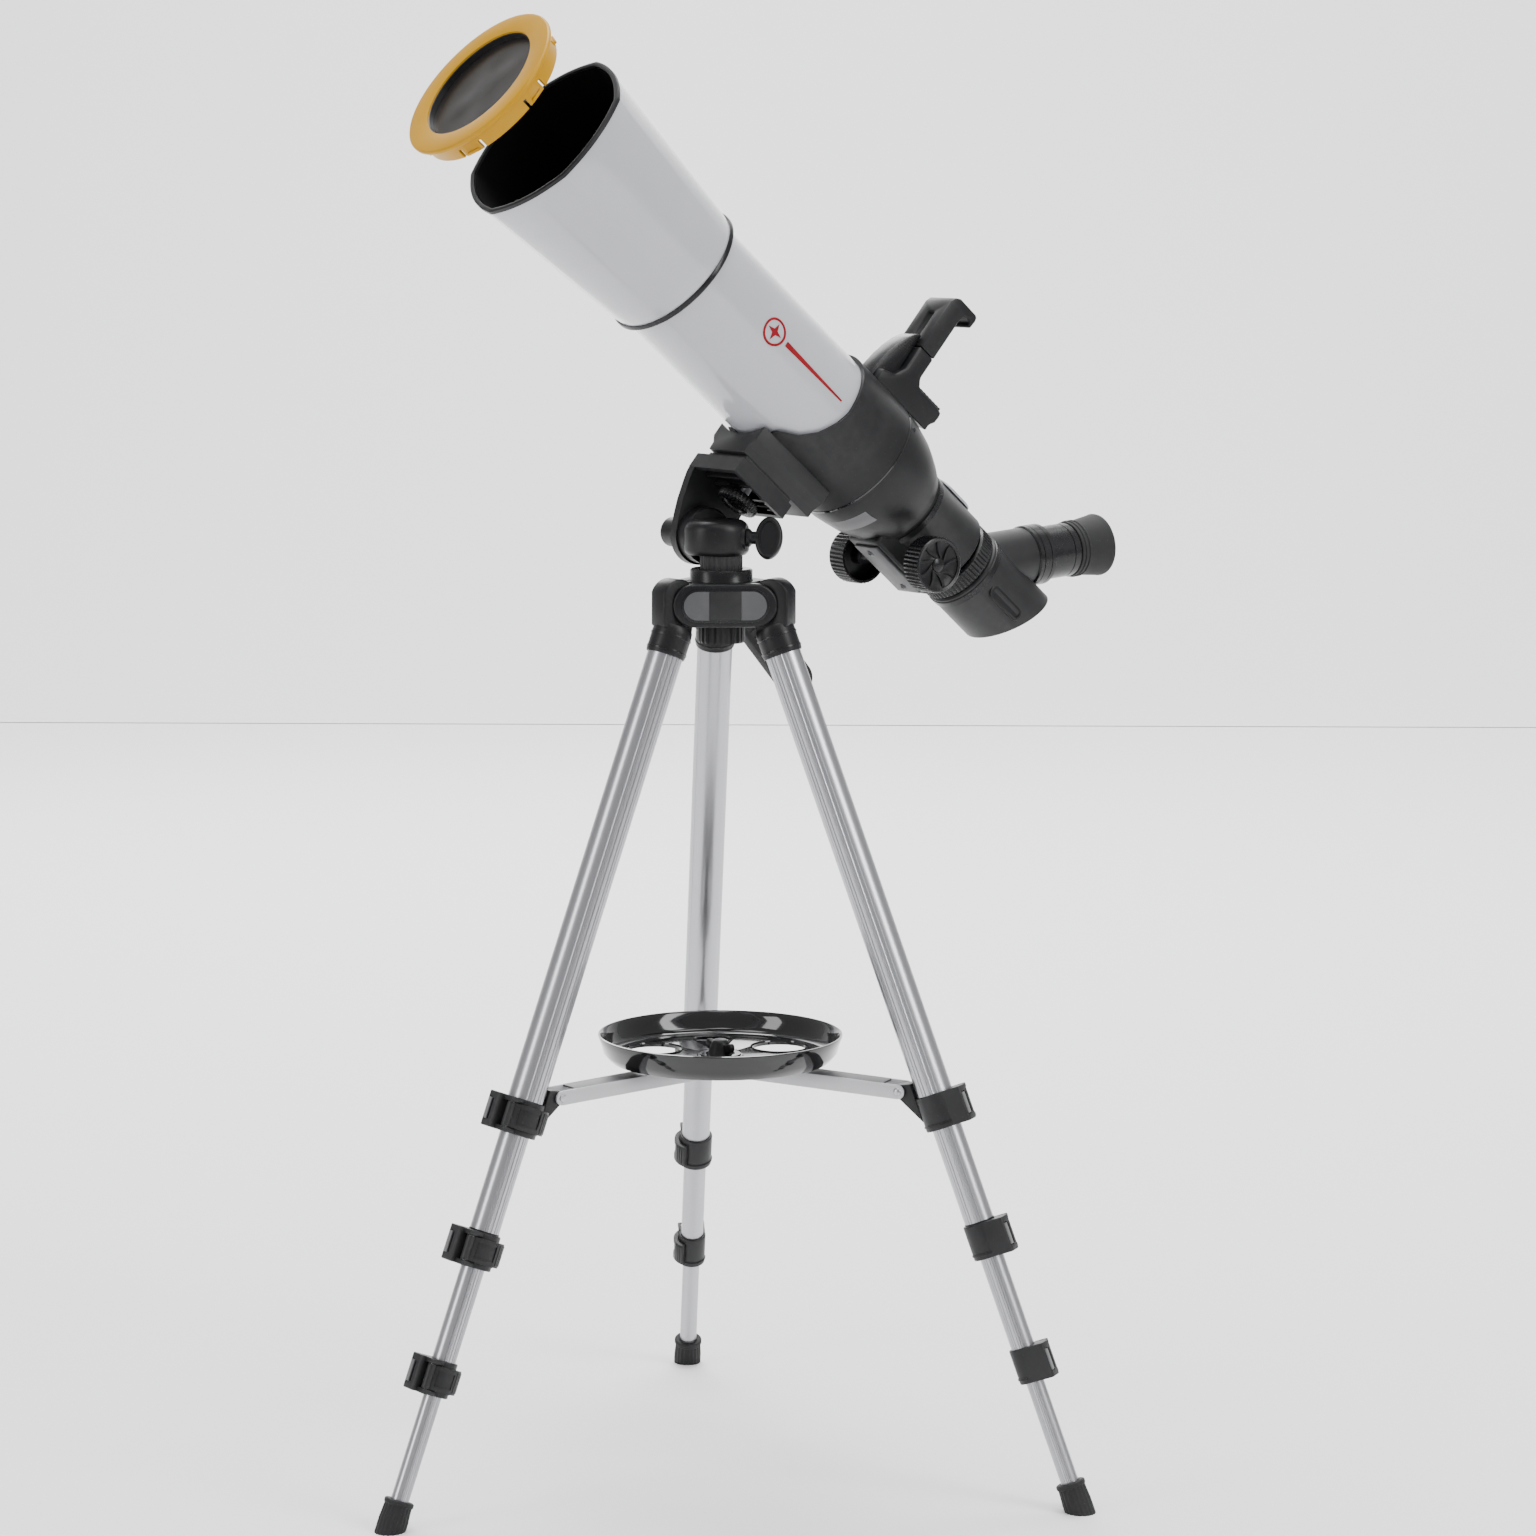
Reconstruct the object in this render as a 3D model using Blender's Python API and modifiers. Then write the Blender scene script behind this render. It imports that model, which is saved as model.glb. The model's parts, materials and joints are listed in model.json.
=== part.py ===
"""Refracting telescope on a folding tripod.

Frame: metres, +Z up, the floor is Z = 0 and the telescope points towards -Y.
The stand is a tree of empties: each moving piece hangs from an empty that sits
on its joint's axis, so a piece is placed in the frame of the joint it turns on.
"""
import math

import bmesh
import bpy
from mathutils import Matrix, Vector

MM = 0.001

# ---------------------------------------------------------------- fits
GAP = 0.3 * MM                   # air left between two pieces that touch
BORE_PLAY = 0.3 * MM             # extra radius of a bore over its shaft

# ---------------------------------------------------------------- tripod legs
LEG_AZIMUTHS = {"front": math.radians(-90), "right": math.radians(30),
                "left": math.radians(150)}
SPLAY = math.radians(21.2)       # lean of a leg away from the vertical
PIVOT_RADIUS = 34.5 * MM         # leg hinge pins, out from the tripod axis
LEG_OFFSET = 6.5 * MM            # leg axis, inboard of its hinge pin
TUBE_RADII = [10.6 * MM, 8.8 * MM, 7.1 * MM, 5.4 * MM]
TUBE_WALL = 1.2 * MM
SOCKET_END = 33 * MM             # all lengths along a leg start at its hinge pin
SOCKET_RADIUS = 11.85 * MM
CLAMP_1_TOP = 306 * MM
CLAMP_HEIGHT = 21 * MM
EXPOSED = [59.5 * MM, 56.2 * MM, 63.0 * MM]  # bare tube below clamps 1, 2 and 3
STOWED_TOPS = [40 * MM, 40 * MM, 40 * MM]    # tops of tubes 2, 3, 4 pushed right in
FOOT_HEIGHT = 18.7 * MM          # foot's top edge down to the floor, along the leg
FOOT_RADIUS = 8.8 * MM
FOOT_WRAP = 14 * MM              # length of tube held in the rubber foot
KNUCKLE_RADIUS = 12 * MM
KNUCKLE_WIDTH = 14 * MM
PIN_RADIUS = 1.7 * MM
PIN_HALF = 9 * MM                # half length of a hinge pin

# ---------------------------------------------------------------- leg clamps
CLAMP_WALL = 1.6 * MM
CLAMP_LIP = 3 * MM               # end wall that closes on the inner tube
LOBE_REACH = 7.8 * MM            # cam block, out from the clamp ring
LOBE_BACK = 9 * MM
LOBE_FRONT = 1.5 * MM
EAR = 3 * MM
LEVER_THICKNESS = 3 * MM
LEVER_HINGE_ANGLE = math.radians(28)
LEVER_TIP_ANGLE = math.radians(146)
LEVER_HUB = 3 * MM
LEVER_PIN = 1.3 * MM

# ---------------------------------------------------------------- crown and post
CROWN_HEIGHT = 25.6 * MM
CROWN_DROP = 3.5 * MM            # crown's middle, below the hinge pins
FACE_DISTANCE = 27 * MM          # pill-shaped cheeks, out from the tripod axis
FACE_LENGTH = 62 * MM
CHEEK_START = 4 * MM
CROWN_CORE = 21.5 * MM
SLOT_START = 21.8 * MM
COLLAR_RADIUS = 18.6 * MM
COLLAR_HEIGHT = 7.1 * MM
POST_RADIUS = 12.7 * MM
POST_WALL = 2.2 * MM
POST_ABOVE = 7.7 * MM            # fluted length above the collar
NUT_RADIUS = 14.2 * MM
NUT_HEIGHT = 11 * MM

# ---------------------------------------------------------------- spreader, tray
LUG_OFFSET = 19.5 * MM           # arm pivot, inboard of the leg axis
LUG_ABOVE = 7.3 * MM             # arm pivot, above clamp 1
LUG_WIDTH = 11 * MM
ARM_INNER_RADIUS = 19 * MM       # arms' inner pivots, out from the tripod axis
ARM_RISE = 3.6 * MM              # inner pivot over outer pivot
ARM_WIDTH = 16 * MM
ARM_HALF_DEPTH = 4.3 * MM
ARM_SHEET = 1.3 * MM
WEB_SETBACK = 10 * MM
HUB_LUG_WIDTH = 8 * MM
HUB_RADIUS = 10.5 * MM
ARM_PIN = 1.6 * MM
TRAY_RIM_RADIUS = 73.5 * MM
TRAY_FLOOR_RADIUS = 66 * MM
TRAY_HEIGHT = 15.5 * MM
TRAY_WALL = 1.8 * MM
TRAY_CLEARANCE = 0.9 * MM        # tray's floor over the arms
CUP_HOLE_RADIUS = 16.5 * MM
CUP_HOLE_PITCH = 44 * MM
VENT_PITCH = 52 * MM
VENT_SIZE = (24 * MM, 12 * MM)
TRAY_BOSS = (14 * MM, 0.6 * MM)  # radius and height of the knob's seat on the floor
WING_SPAN = 26 * MM

# ---------------------------------------------------------------- pan and tilt head
PAN_HEIGHT = 20.7 * MM
PAN_RADIUS = 19.5 * MM
PAN_CENTRE_X = -5 * MM
PAN_FLAT_X = -12.6 * MM          # flat on which the tilt hub bears
PAN_EDGE = 6.5 * MM
SPIGOT_LENGTH = 9 * MM
TILT_ABOVE_PAN = 10.3 * MM       # tilt axis over the pan body's underside
TRUNNION_RADIUS = 3 * MM
ALTITUDE = math.radians(40.5)    # telescope's aim above the horizon
HUB_DISC_RADIUS = 16.8 * MM
ARM_PLATE = (-27 * MM, -21.2 * MM)           # tilt arm's outer and inner faces, X
ARM_END_RADIUS = 18 * MM
BOSS_RADIUS = 9 * MM
BOSS_END = -52 * MM
PLATFORM_X = (-27 * MM, 20 * MM)
PLATFORM_Y = (-30 * MM, 16 * MM)
PLATFORM_Z = (28 * MM, 38 * MM)              # over the tilt axis
PLATFORM_SHEET = 3 * MM
PAD_THICKNESS = 3 * MM
PAN_KNOB_AZIMUTH = math.radians(44)
HANDLE_X = -46 * MM
HANDLE_LIFT = 4.6 * MM
HANDLE_DROOP = math.radians(8.5)
HANDLE_START = 6 * MM
HANDLE_GRIP_START = 60 * MM
HANDLE_END = 140 * MM
GRIP_WIDTH = 22 * MM
GRIP_THICKNESS = 13 * MM
SCREW_Y = -4 * MM
SCREW_RADIUS = 3.1 * MM
SCREW_KNOB_RADIUS = 13 * MM
SCREW_KNOB_Z = (20.9 * MM, 26.4 * MM)
SCREW_ENTRY = 9 * MM             # thread length inside the telescope's foot

# ---------------------------------------------------------------- telescope
AXIS_HEIGHT = 97 * MM            # optical axis over the tilt axis
TUBE_OUTER = 40 * MM
SHEET = 1.5 * MM
TUBE_FRONT = 142 * MM            # lengths along the axis start at the collar's front
TUBE_SEAT = 15 * MM              # tube held inside the rear housing
HOOD_REAR = 130 * MM
HOOD_FRONT = 246 * MM
HOOD_REAR_RADIUS = 43.4 * MM
HOOD_FRONT_RADIUS = 54.5 * MM
HOOD_WALL = 2.2 * MM
HOOD_LOBES = 6
HOOD_WAVE = 0.016                # lobe height as a share of the radius
LENS_RADIUS = 38.2 * MM
LENS_MIDDLE = 114 * MM
LENS_EDGE = 6 * MM
LENS_BULGE = 2.5 * MM
COLLAR_OUTER = 42.5 * MM
DOME_END = 91 * MM
NECK_RADIUS = 27.5 * MM
NECK_END = 138.8 * MM
SHOE_Y = (-31 * MM, 32 * MM)
CRADLE_Y = -24 * MM              # the collar reaches this far forward under the tube
SHOE_HALF_WIDTHS = (17.5 * MM, 22 * MM)      # at its foot and where it meets the dome

# ---------------------------------------------------------------- focuser
DRAW_RADIUS = 22 * MM
DRAW_WALL = 2.4 * MM
DRAW_FRONT = 60 * MM
DRAW_FLANGE = (141.5 * MM, 153.2 * MM)
FLANGE_RADIUS = 26.5 * MM
SHAFT_Y = 111 * MM
SHAFT_DROP = 28 * MM             # pinion shaft under the optical axis
SHAFT_RADIUS = 2.1 * MM
PINION_RADIUS = 3.4 * MM
PINION_HALF = 5 * MM
RACK_HALF = 3 * MM
KNOB_RADIUS = 17 * MM
KNOB_SPAN = (30.5 * MM, 44.5 * MM)
BLOCK_HALF = 15 * MM
BLOCK_BOTTOM = 34.5 * MM

# ---------------------------------------------------------------- diagonal, eyepiece
DIAGONAL_RADIUS = 26.2 * MM
DIAGONAL_MOUTH = 153.8 * MM
DIAGONAL_REAR = 203 * MM
NOSE_RADIUS = 19.1 * MM
NOSE_LENGTH = 22 * MM
BRANCH_Y = 154 * MM              # where the eyepiece axis leaves the tube axis
BRANCH_TURN = math.radians(45)
BRANCH_RADIUS = 18 * MM
HOLDER_RADIUS = 19 * MM
HOLDER = (49 * MM, 62.5 * MM)     # lengths along the eyepiece axis
LIGHT_BORE = 16.2 * MM
BARREL_RADIUS = 15.9 * MM
BARREL_START = 38 * MM
EYEPIECE_BODY = (63 * MM, 84.5 * MM)
EYEPIECE_RADIUS = 16.7 * MM
EYE_SEAT_RADIUS = 15.5 * MM
EYE_SEAT_END = 98.5 * MM
EYE_LENS_BORE = 11 * MM
EYECUP_END = 109.5 * MM
EYECUP_RADIUS = 19.3 * MM

# ---------------------------------------------------------------- phone holder
HOLDER_HALF_WIDTH = 13 * MM
SPINE_Y = (34 * MM, 46.5 * MM)
BASE_Y = (20 * MM, 70 * MM)
BASE_TOP = 57 * MM               # over the optical axis
JAW_BOTTOM = 77 * MM
JAW_TOP = 118 * MM
JAW_REACH = 56.5 * MM
RAIL_HALF_WIDTH = 9 * MM
RAIL_Y = (37 * MM, 43.5 * MM)
RAIL_TOP = 108 * MM

# ---------------------------------------------------------------- solar cap
CAP_FRONT = 299 * MM             # where the drawn-off cap hangs, ahead of the hood
CAP_SAG = 5.5 * MM               # and how far under the optical axis
CAP_RADIUS = 51.5 * MM
CAP_HOLE_RADIUS = 37.8 * MM
CAP_FLANGE = 3 * MM
CAP_DEPTH = 13.5 * MM
CAP_SKIRT_RADIUS = 47 * MM
CAP_WALL = 2 * MM
FILM_BACK = 5 * MM
FILM_THICKNESS = 0.6 * MM
CAP_TABS = 6

# ---------------------------------------------------------------- derived places
CLAMP_TOPS = [CLAMP_1_TOP]
for bare in EXPOSED[:2]:
    CLAMP_TOPS.append(CLAMP_TOPS[-1] + CLAMP_HEIGHT + bare)
FOOT_TOP = CLAMP_TOPS[2] + CLAMP_HEIGHT + EXPOSED[2]
LEG_REACH = FOOT_TOP + FOOT_HEIGHT
PIVOT_HEIGHT = LEG_REACH * math.cos(SPLAY) + LEG_OFFSET * math.sin(SPLAY)
CROWN_TOP = PIVOT_HEIGHT - CROWN_DROP + CROWN_HEIGHT / 2
CROWN_BOTTOM = CROWN_TOP - CROWN_HEIGHT
PAN_BOTTOM = CROWN_TOP + COLLAR_HEIGHT + POST_ABOVE + GAP
TILT_HEIGHT = PAN_BOTTOM + TILT_ABOVE_PAN
PAD_TOP = PLATFORM_Z[1] + PAD_THICKNESS
RACK_BOTTOM = -SHAFT_DROP + PINION_RADIUS + GAP


# ================================================================ scene set-up
def clear_scene():
    """Remove whatever the start-up scene holds."""
    for obj in list(bpy.data.objects):
        bpy.data.objects.remove(obj, do_unlink=True)


def collection(name):
    made = bpy.data.collections.new(name)
    bpy.context.scene.collection.children.link(made)
    return made


clear_scene()
PARTS = collection("telescope_on_tripod")
TOOLS = collection("cutters")


def material(name, colour, roughness, metallic=0.0):
    made = bpy.data.materials.new(name)
    made.use_nodes = True
    shader = made.node_tree.nodes["Principled BSDF"]
    shader.inputs["Base Color"].default_value = (*colour, 1.0)
    shader.inputs["Roughness"].default_value = roughness
    shader.inputs["Metallic"].default_value = metallic
    return made


WHITE = material("white_paint", (0.86, 0.86, 0.87), 0.35)
BLACK = material("black_plastic", (0.03, 0.03, 0.032), 0.5)
GREY = material("grey_plastic", (0.11, 0.11, 0.115), 0.5)
GLOSS = material("gloss_black", (0.01, 0.01, 0.012), 0.12)
SILVER = material("anodised_tube", (0.75, 0.75, 0.77), 0.35, 0.9)
CHANNEL = material("spreader_sheet", (0.7, 0.7, 0.72), 0.45, 0.6)
RUBBER = material("rubber", (0.02, 0.02, 0.02), 0.85)
YELLOW = material("yellow_plastic", (0.85, 0.6, 0.03), 0.3)
GLASS = material("coated_glass", (0.5, 0.6, 0.7), 0.03)


# ================================================================ modelling helpers
def joint(name, parent=None, at=(0, 0, 0), turn=(0, 0, 0)):
    """An empty on a joint's axis; pieces that move with the joint are its children."""
    made = bpy.data.objects.new(name, None)
    made.empty_display_size = 0.01
    PARTS.objects.link(made)
    made.parent = parent
    made.location = at
    made.rotation_euler = turn
    return made


def place(name, mesh, finish, parent, at=(0, 0, 0), turn=(0, 0, 0)):
    """Put a mesh in the scene as a part, or as a tool when it has no finish."""
    made = bpy.data.objects.new(name, mesh)
    if finish is None:
        TOOLS.objects.link(made)
        made.hide_render = True
        made.display_type = "WIRE"
    else:
        PARTS.objects.link(made)
        mesh.materials.append(finish)
    made.parent = parent
    made.location = at
    made.rotation_euler = turn
    return made


def turned(name, profile, steps, finish, parent, at=(0, 0, 0), turn=(0, 0, 0)):
    """A solid turned about its Z; the profile of (radius, z) runs down the outer side."""
    mesh = bpy.data.meshes.new(name)
    count = len(profile)
    edges = [(i, i + 1) for i in range(count - 1)]
    if min(radius for radius, _ in profile) > 0:
        edges.append((count - 1, 0))
    mesh.from_pydata([(radius, 0, z) for radius, z in profile], edges, [])
    made = place(name, mesh, finish, parent, at, turn)
    screw = made.modifiers.new("turn", "SCREW")
    screw.steps = screw.render_steps = steps
    screw.use_merge_vertices = True
    screw.merge_threshold = 0.00001
    screw.use_smooth_shade = False
    return made


def block(name, low, high, finish, parent, at=(0, 0, 0), turn=(0, 0, 0)):
    """A box between two corners of its parent's frame."""
    low, high = Vector(low), Vector(high)
    mesh = bpy.data.meshes.new(name)
    bm = bmesh.new()
    size = Matrix.Diagonal((*(high - low), 1.0))
    bmesh.ops.create_cube(bm, size=1.0, matrix=Matrix.Translation((low + high) / 2) @ size)
    bm.to_mesh(mesh)
    bm.free()
    return place(name, mesh, finish, parent, at, turn)


AXIS_TURNS = {"X": Matrix.Rotation(math.pi / 2, 4, "Y"), "Y": Matrix.Rotation(-math.pi / 2, 4, "X"),
              "Z": Matrix.Identity(4)}


def rod(name, radius, start, end, axis, finish, parent, centre=(0, 0), steps=16, at=(0, 0, 0),
        turn=(0, 0, 0)):
    """A round bar from start to end along an axis; centre is its place on the other two."""
    mesh = bpy.data.meshes.new(name)
    bm = bmesh.new()
    middle = list(centre)
    middle.insert("XYZ".index(axis), (start + end) / 2)
    bmesh.ops.create_cone(bm, cap_ends=True, segments=steps, radius1=radius, radius2=radius,
                          depth=abs(end - start),
                          matrix=Matrix.Translation(middle) @ AXIS_TURNS[axis])
    bm.to_mesh(mesh)
    bm.free()
    return place(name, mesh, finish, parent, at, turn)


def arc(radius, first, last, steps, centre=(0, 0)):
    """Points on a circle from one angle to another, both included."""
    turns = [first + (last - first) * i / steps for i in range(steps + 1)]
    return [(centre[0] + radius * math.cos(t), centre[1] + radius * math.sin(t)) for t in turns]


def pill(length, height, steps=5):
    """A bar outline with round ends, about the origin."""
    reach, end = (length - height) / 2, height / 2
    return (arc(end, -math.pi / 2, math.pi / 2, steps, (reach, 0))
            + arc(end, math.pi / 2, 3 * math.pi / 2, steps, (-reach, 0)))


def flat(name, outline, thickness, finish, parent, at=(0, 0, 0), turn=(0, 0, 0)):
    """A flat outline given a thickness, half to each side of its own XY plane."""
    curve = bpy.data.curves.new(name, "CURVE")
    curve.dimensions = "2D"
    curve.fill_mode = "BOTH"
    curve.extrude = thickness / 2
    spline = curve.splines.new("POLY")
    spline.points.add(len(outline) - 1)
    for point, (x, y) in zip(spline.points, outline):
        point.co = (x, y, 0, 1)
    spline.use_cyclic_u = True
    holder = bpy.data.objects.new(name + "_outline", curve)
    TOOLS.objects.link(holder)
    graph = bpy.context.evaluated_depsgraph_get()
    mesh = bpy.data.meshes.new_from_object(holder.evaluated_get(graph))
    mesh.name = name
    bpy.data.objects.remove(holder, do_unlink=True)
    bm = bmesh.new()
    bm.from_mesh(mesh)
    bmesh.ops.remove_doubles(bm, verts=bm.verts, dist=0.000001)
    bmesh.ops.recalc_face_normals(bm, faces=bm.faces)
    bm.to_mesh(mesh)
    bm.free()
    mesh.materials.clear()
    return place(name, mesh, finish, parent, at, turn)


def shape(target, tool, operation):
    """Join a tool to a part, or cut it away, with an exact Boolean."""
    boolean = target.modifiers.new(operation.lower(), "BOOLEAN")
    boolean.operation = operation
    boolean.solver = "EXACT"
    boolean.object = tool


def add(target, *tools):
    for tool in tools:
        shape(target, tool, "UNION")


def cut(target, *tools):
    for tool in tools:
        shape(target, tool, "DIFFERENCE")


ON_SIDE = (math.pi / 2, 0, math.pi / 2)      # an outline's X, Y become Y, Z of the frame
UPRIGHT = (math.pi / 2, 0, 0)                # an outline's X, Y become X, Z of the frame
FORWARD = (math.pi / 2, 0, 0)                # a turned solid's Z becomes -Y, the aim


# ================================================================ crown and post
def cheek_azimuths():
    return [azimuth + math.pi for azimuth in LEG_AZIMUTHS.values()]


def build_crown(stand):
    """Central casting: three pill-shaped cheeks with a slot for a leg at each corner."""
    crown = rod("crown", CROWN_CORE, CROWN_BOTTOM, CROWN_TOP, "Z", BLACK, stand, steps=24)
    depth = FACE_DISTANCE - CHEEK_START
    middle = (FACE_DISTANCE + CHEEK_START) / 2
    height = (CROWN_TOP + CROWN_BOTTOM) / 2
    for azimuth in cheek_azimuths():
        spot = (middle * math.cos(azimuth), middle * math.sin(azimuth), height)
        add(crown, flat("cheek", pill(FACE_LENGTH, CROWN_HEIGHT), depth, None, stand, spot,
                        (math.pi / 2, 0, azimuth + math.pi / 2)))
    add(crown, rod("crown_collar", COLLAR_RADIUS, CROWN_TOP - MM, CROWN_TOP + COLLAR_HEIGHT, "Z",
                   None, stand, steps=32))
    half_slot = KNUCKLE_WIDTH / 2 + GAP
    hole_half = PIN_HALF + GAP
    for azimuth in LEG_AZIMUTHS.values():
        turn = (0, 0, azimuth)
        cut(crown, block("leg_slot", (SLOT_START, -half_slot, CROWN_BOTTOM - MM),
                         (PIVOT_RADIUS * 2, half_slot, CROWN_TOP + 2 * COLLAR_HEIGHT), None, stand,
                         turn=turn),
            rod("pin_hole", PIN_RADIUS + BORE_PLAY, -hole_half, hole_half, "Y", None, stand,
                (PIVOT_RADIUS, PIVOT_HEIGHT), turn=turn))
    cut(crown, rod("post_bore", POST_RADIUS + BORE_PLAY, CROWN_BOTTOM - MM,
                   CROWN_TOP + COLLAR_HEIGHT + MM, "Z", None, stand, steps=32))
    return crown


def build_post(stand):
    """Short fluted column through the crown, held from below by its ribbed nut."""
    inner = POST_RADIUS - POST_WALL
    top, seat = PAN_BOTTOM - GAP, CROWN_BOTTOM - GAP
    return turned("center_post",
                  [(POST_RADIUS, top), (POST_RADIUS, seat), (NUT_RADIUS, seat),
                   (NUT_RADIUS, seat - NUT_HEIGHT), (inner, seat - NUT_HEIGHT), (inner, top)],
                  32, SILVER, stand)


# ================================================================ legs
def leg_tube(name, radius, wall, top, bottom, leg):
    inner = radius - wall
    return turned(name, [(radius, -top), (radius, -bottom), (inner, -bottom), (inner, -top)],
                  16, SILVER, leg, (-LEG_OFFSET, 0, 0))


def build_socket(tag, leg):
    """Knuckle that turns in the crown's slot and takes the upper tube."""
    throat = SOCKET_END / 2
    socket = rod("leg_socket_" + tag, SOCKET_RADIUS, -SOCKET_END, -throat, "Z", BLACK, leg,
                 (-LEG_OFFSET, 0), 18)
    left, right = -LEG_OFFSET - SOCKET_RADIUS + 2 * MM, -LEG_OFFSET + SOCKET_RADIUS - 0.5 * MM
    outline = arc(KNUCKLE_RADIUS, 0, math.pi, 10) + [(left, -throat - 2 * MM),
                                                     (right, -throat - 2 * MM)]
    add(socket, flat("knuckle", outline, KNUCKLE_WIDTH, None, leg, turn=UPRIGHT),
        rod("hinge_pin", PIN_RADIUS, -PIN_HALF, PIN_HALF, "Y", None, leg, steps=10))
    cut(socket, rod("tube_bore", TUBE_RADII[0] + GAP, -SOCKET_END - MM, -throat - 3 * MM, "Z", None,
                    leg, (-LEG_OFFSET, 0), 16))
    return socket


def clamp_outline(tube_radius):
    """Ring round the tube with the cam block on its outer side."""
    ring = tube_radius + CLAMP_WALL
    first = math.asin(LOBE_FRONT / ring)
    last = 2 * math.pi - math.asin(min(LOBE_BACK / ring, 0.98))
    return (arc(ring, first, last, 11)
            + [(ring + LOBE_REACH, -LOBE_BACK), (ring + LOBE_REACH, LOBE_FRONT)])


def lever_hinge(tube_radius):
    reach = tube_radius + CLAMP_WALL + LEVER_THICKNESS - 0.1 * MM
    return (reach * math.cos(LEVER_HINGE_ANGLE), reach * math.sin(LEVER_HINGE_ANGLE))


def build_clamp(name, index, top, leg):
    """Cam clamp on the lower end of a tube; its lip closes on the next tube."""
    radius, inner = TUBE_RADII[index], TUBE_RADII[index + 1]
    at = (-LEG_OFFSET, 0, -top - CLAMP_HEIGHT / 2)
    clamp = flat(name, clamp_outline(radius), CLAMP_HEIGHT, BLACK, leg, at)
    hinge = lever_hinge(radius)
    half = CLAMP_HEIGHT / 2
    for side in (-1, 1):
        outer, inward = side * half, side * (half - EAR)
        add(clamp, block("ear", (hinge[0] - 6 * MM, 0, min(outer, inward)),
                         (hinge[0] + LEVER_HUB, hinge[1] + LEVER_HUB, max(outer, inward)),
                         None, leg, at))
    if index == 0:
        add(clamp, build_lug(top, leg))
    cut(clamp,
        turned("clamp_bore",
               [(0, half + MM), (radius + GAP, half + MM), (radius + GAP, CLAMP_LIP - half),
                (inner + BORE_PLAY, CLAMP_LIP - half), (inner + BORE_PLAY, -half - MM),
                (0, -half - MM)], 14, None, leg, at),
        rod("lever_pin_hole", LEVER_PIN + BORE_PLAY, -half - MM, half + MM, "Z", None, leg, hinge, 8,
            at))
    return clamp


def build_lug(top, leg):
    """Ear on the inner side of the first clamp, where a spreader arm pivots."""
    wall = -LEG_OFFSET - TUBE_RADII[0] - 0.5 * MM
    pivot = (-LEG_OFFSET - LUG_OFFSET, -top + LUG_ABOVE)
    tip = arc(3.8 * MM, math.radians(80), math.radians(235), 8, pivot)
    outline = tip + [(wall, -top - CLAMP_HEIGHT * 0.7), (wall, pivot[1] + 2 * MM)]
    return flat("arm_lug", outline, LUG_WIDTH, None, leg, turn=UPRIGHT)


def build_lever(name, index, pivot):
    """Cam lever that lies round the side of a clamp; its frame is its hinge pin."""
    radius = TUBE_RADII[index]
    inner = radius + CLAMP_WALL + GAP
    outer = inner + LEVER_THICKNESS
    hinge = lever_hinge(radius)
    height = CLAMP_HEIGHT - 2 * EAR - 2 * GAP
    outline = (arc(outer, LEVER_HINGE_ANGLE, LEVER_TIP_ANGLE, 5)
               + arc(inner, LEVER_TIP_ANGLE, LEVER_HINGE_ANGLE, 5))
    at = (-hinge[0], -hinge[1], 0)
    lever = flat(name, outline, height, GREY, pivot, at)
    pin_half = CLAMP_HEIGHT / 2 - GAP
    add(lever, rod("lever_hub", LEVER_HUB - 0.4 * MM, -height / 2, height / 2, "Z", None, pivot, steps=8),
        rod("lever_pin", LEVER_PIN, -pin_half, pin_half, "Z", None, pivot, steps=8))
    return lever


def hang_lever(label, index, carrier):
    """A cam lever on the empty that sits on its hinge pin."""
    hinge = lever_hinge(TUBE_RADII[index])
    spot = (hinge[0] - LEG_OFFSET, hinge[1], -CLAMP_TOPS[index] - CLAMP_HEIGHT / 2)
    build_lever("lever_" + label, index, joint("hinge_lever_" + label, carrier, spot))


def build_foot(tag, leg):
    """Rubber foot, cut level so that it stands flat on the floor."""
    seat = FOOT_TOP + FOOT_WRAP
    bore = TUBE_RADII[3] + GAP
    deep = LEG_REACH + FOOT_RADIUS
    foot = turned("foot_" + tag,
                  [(0, -seat), (bore, -seat), (bore, -FOOT_TOP), (FOOT_RADIUS - 0.4 * MM, -FOOT_TOP),
                   (FOOT_RADIUS, -FOOT_TOP - 2 * MM), (FOOT_RADIUS, -deep), (0, -deep)],
                  16, RUBBER, leg, (-LEG_OFFSET, 0, 0))
    return foot


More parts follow.
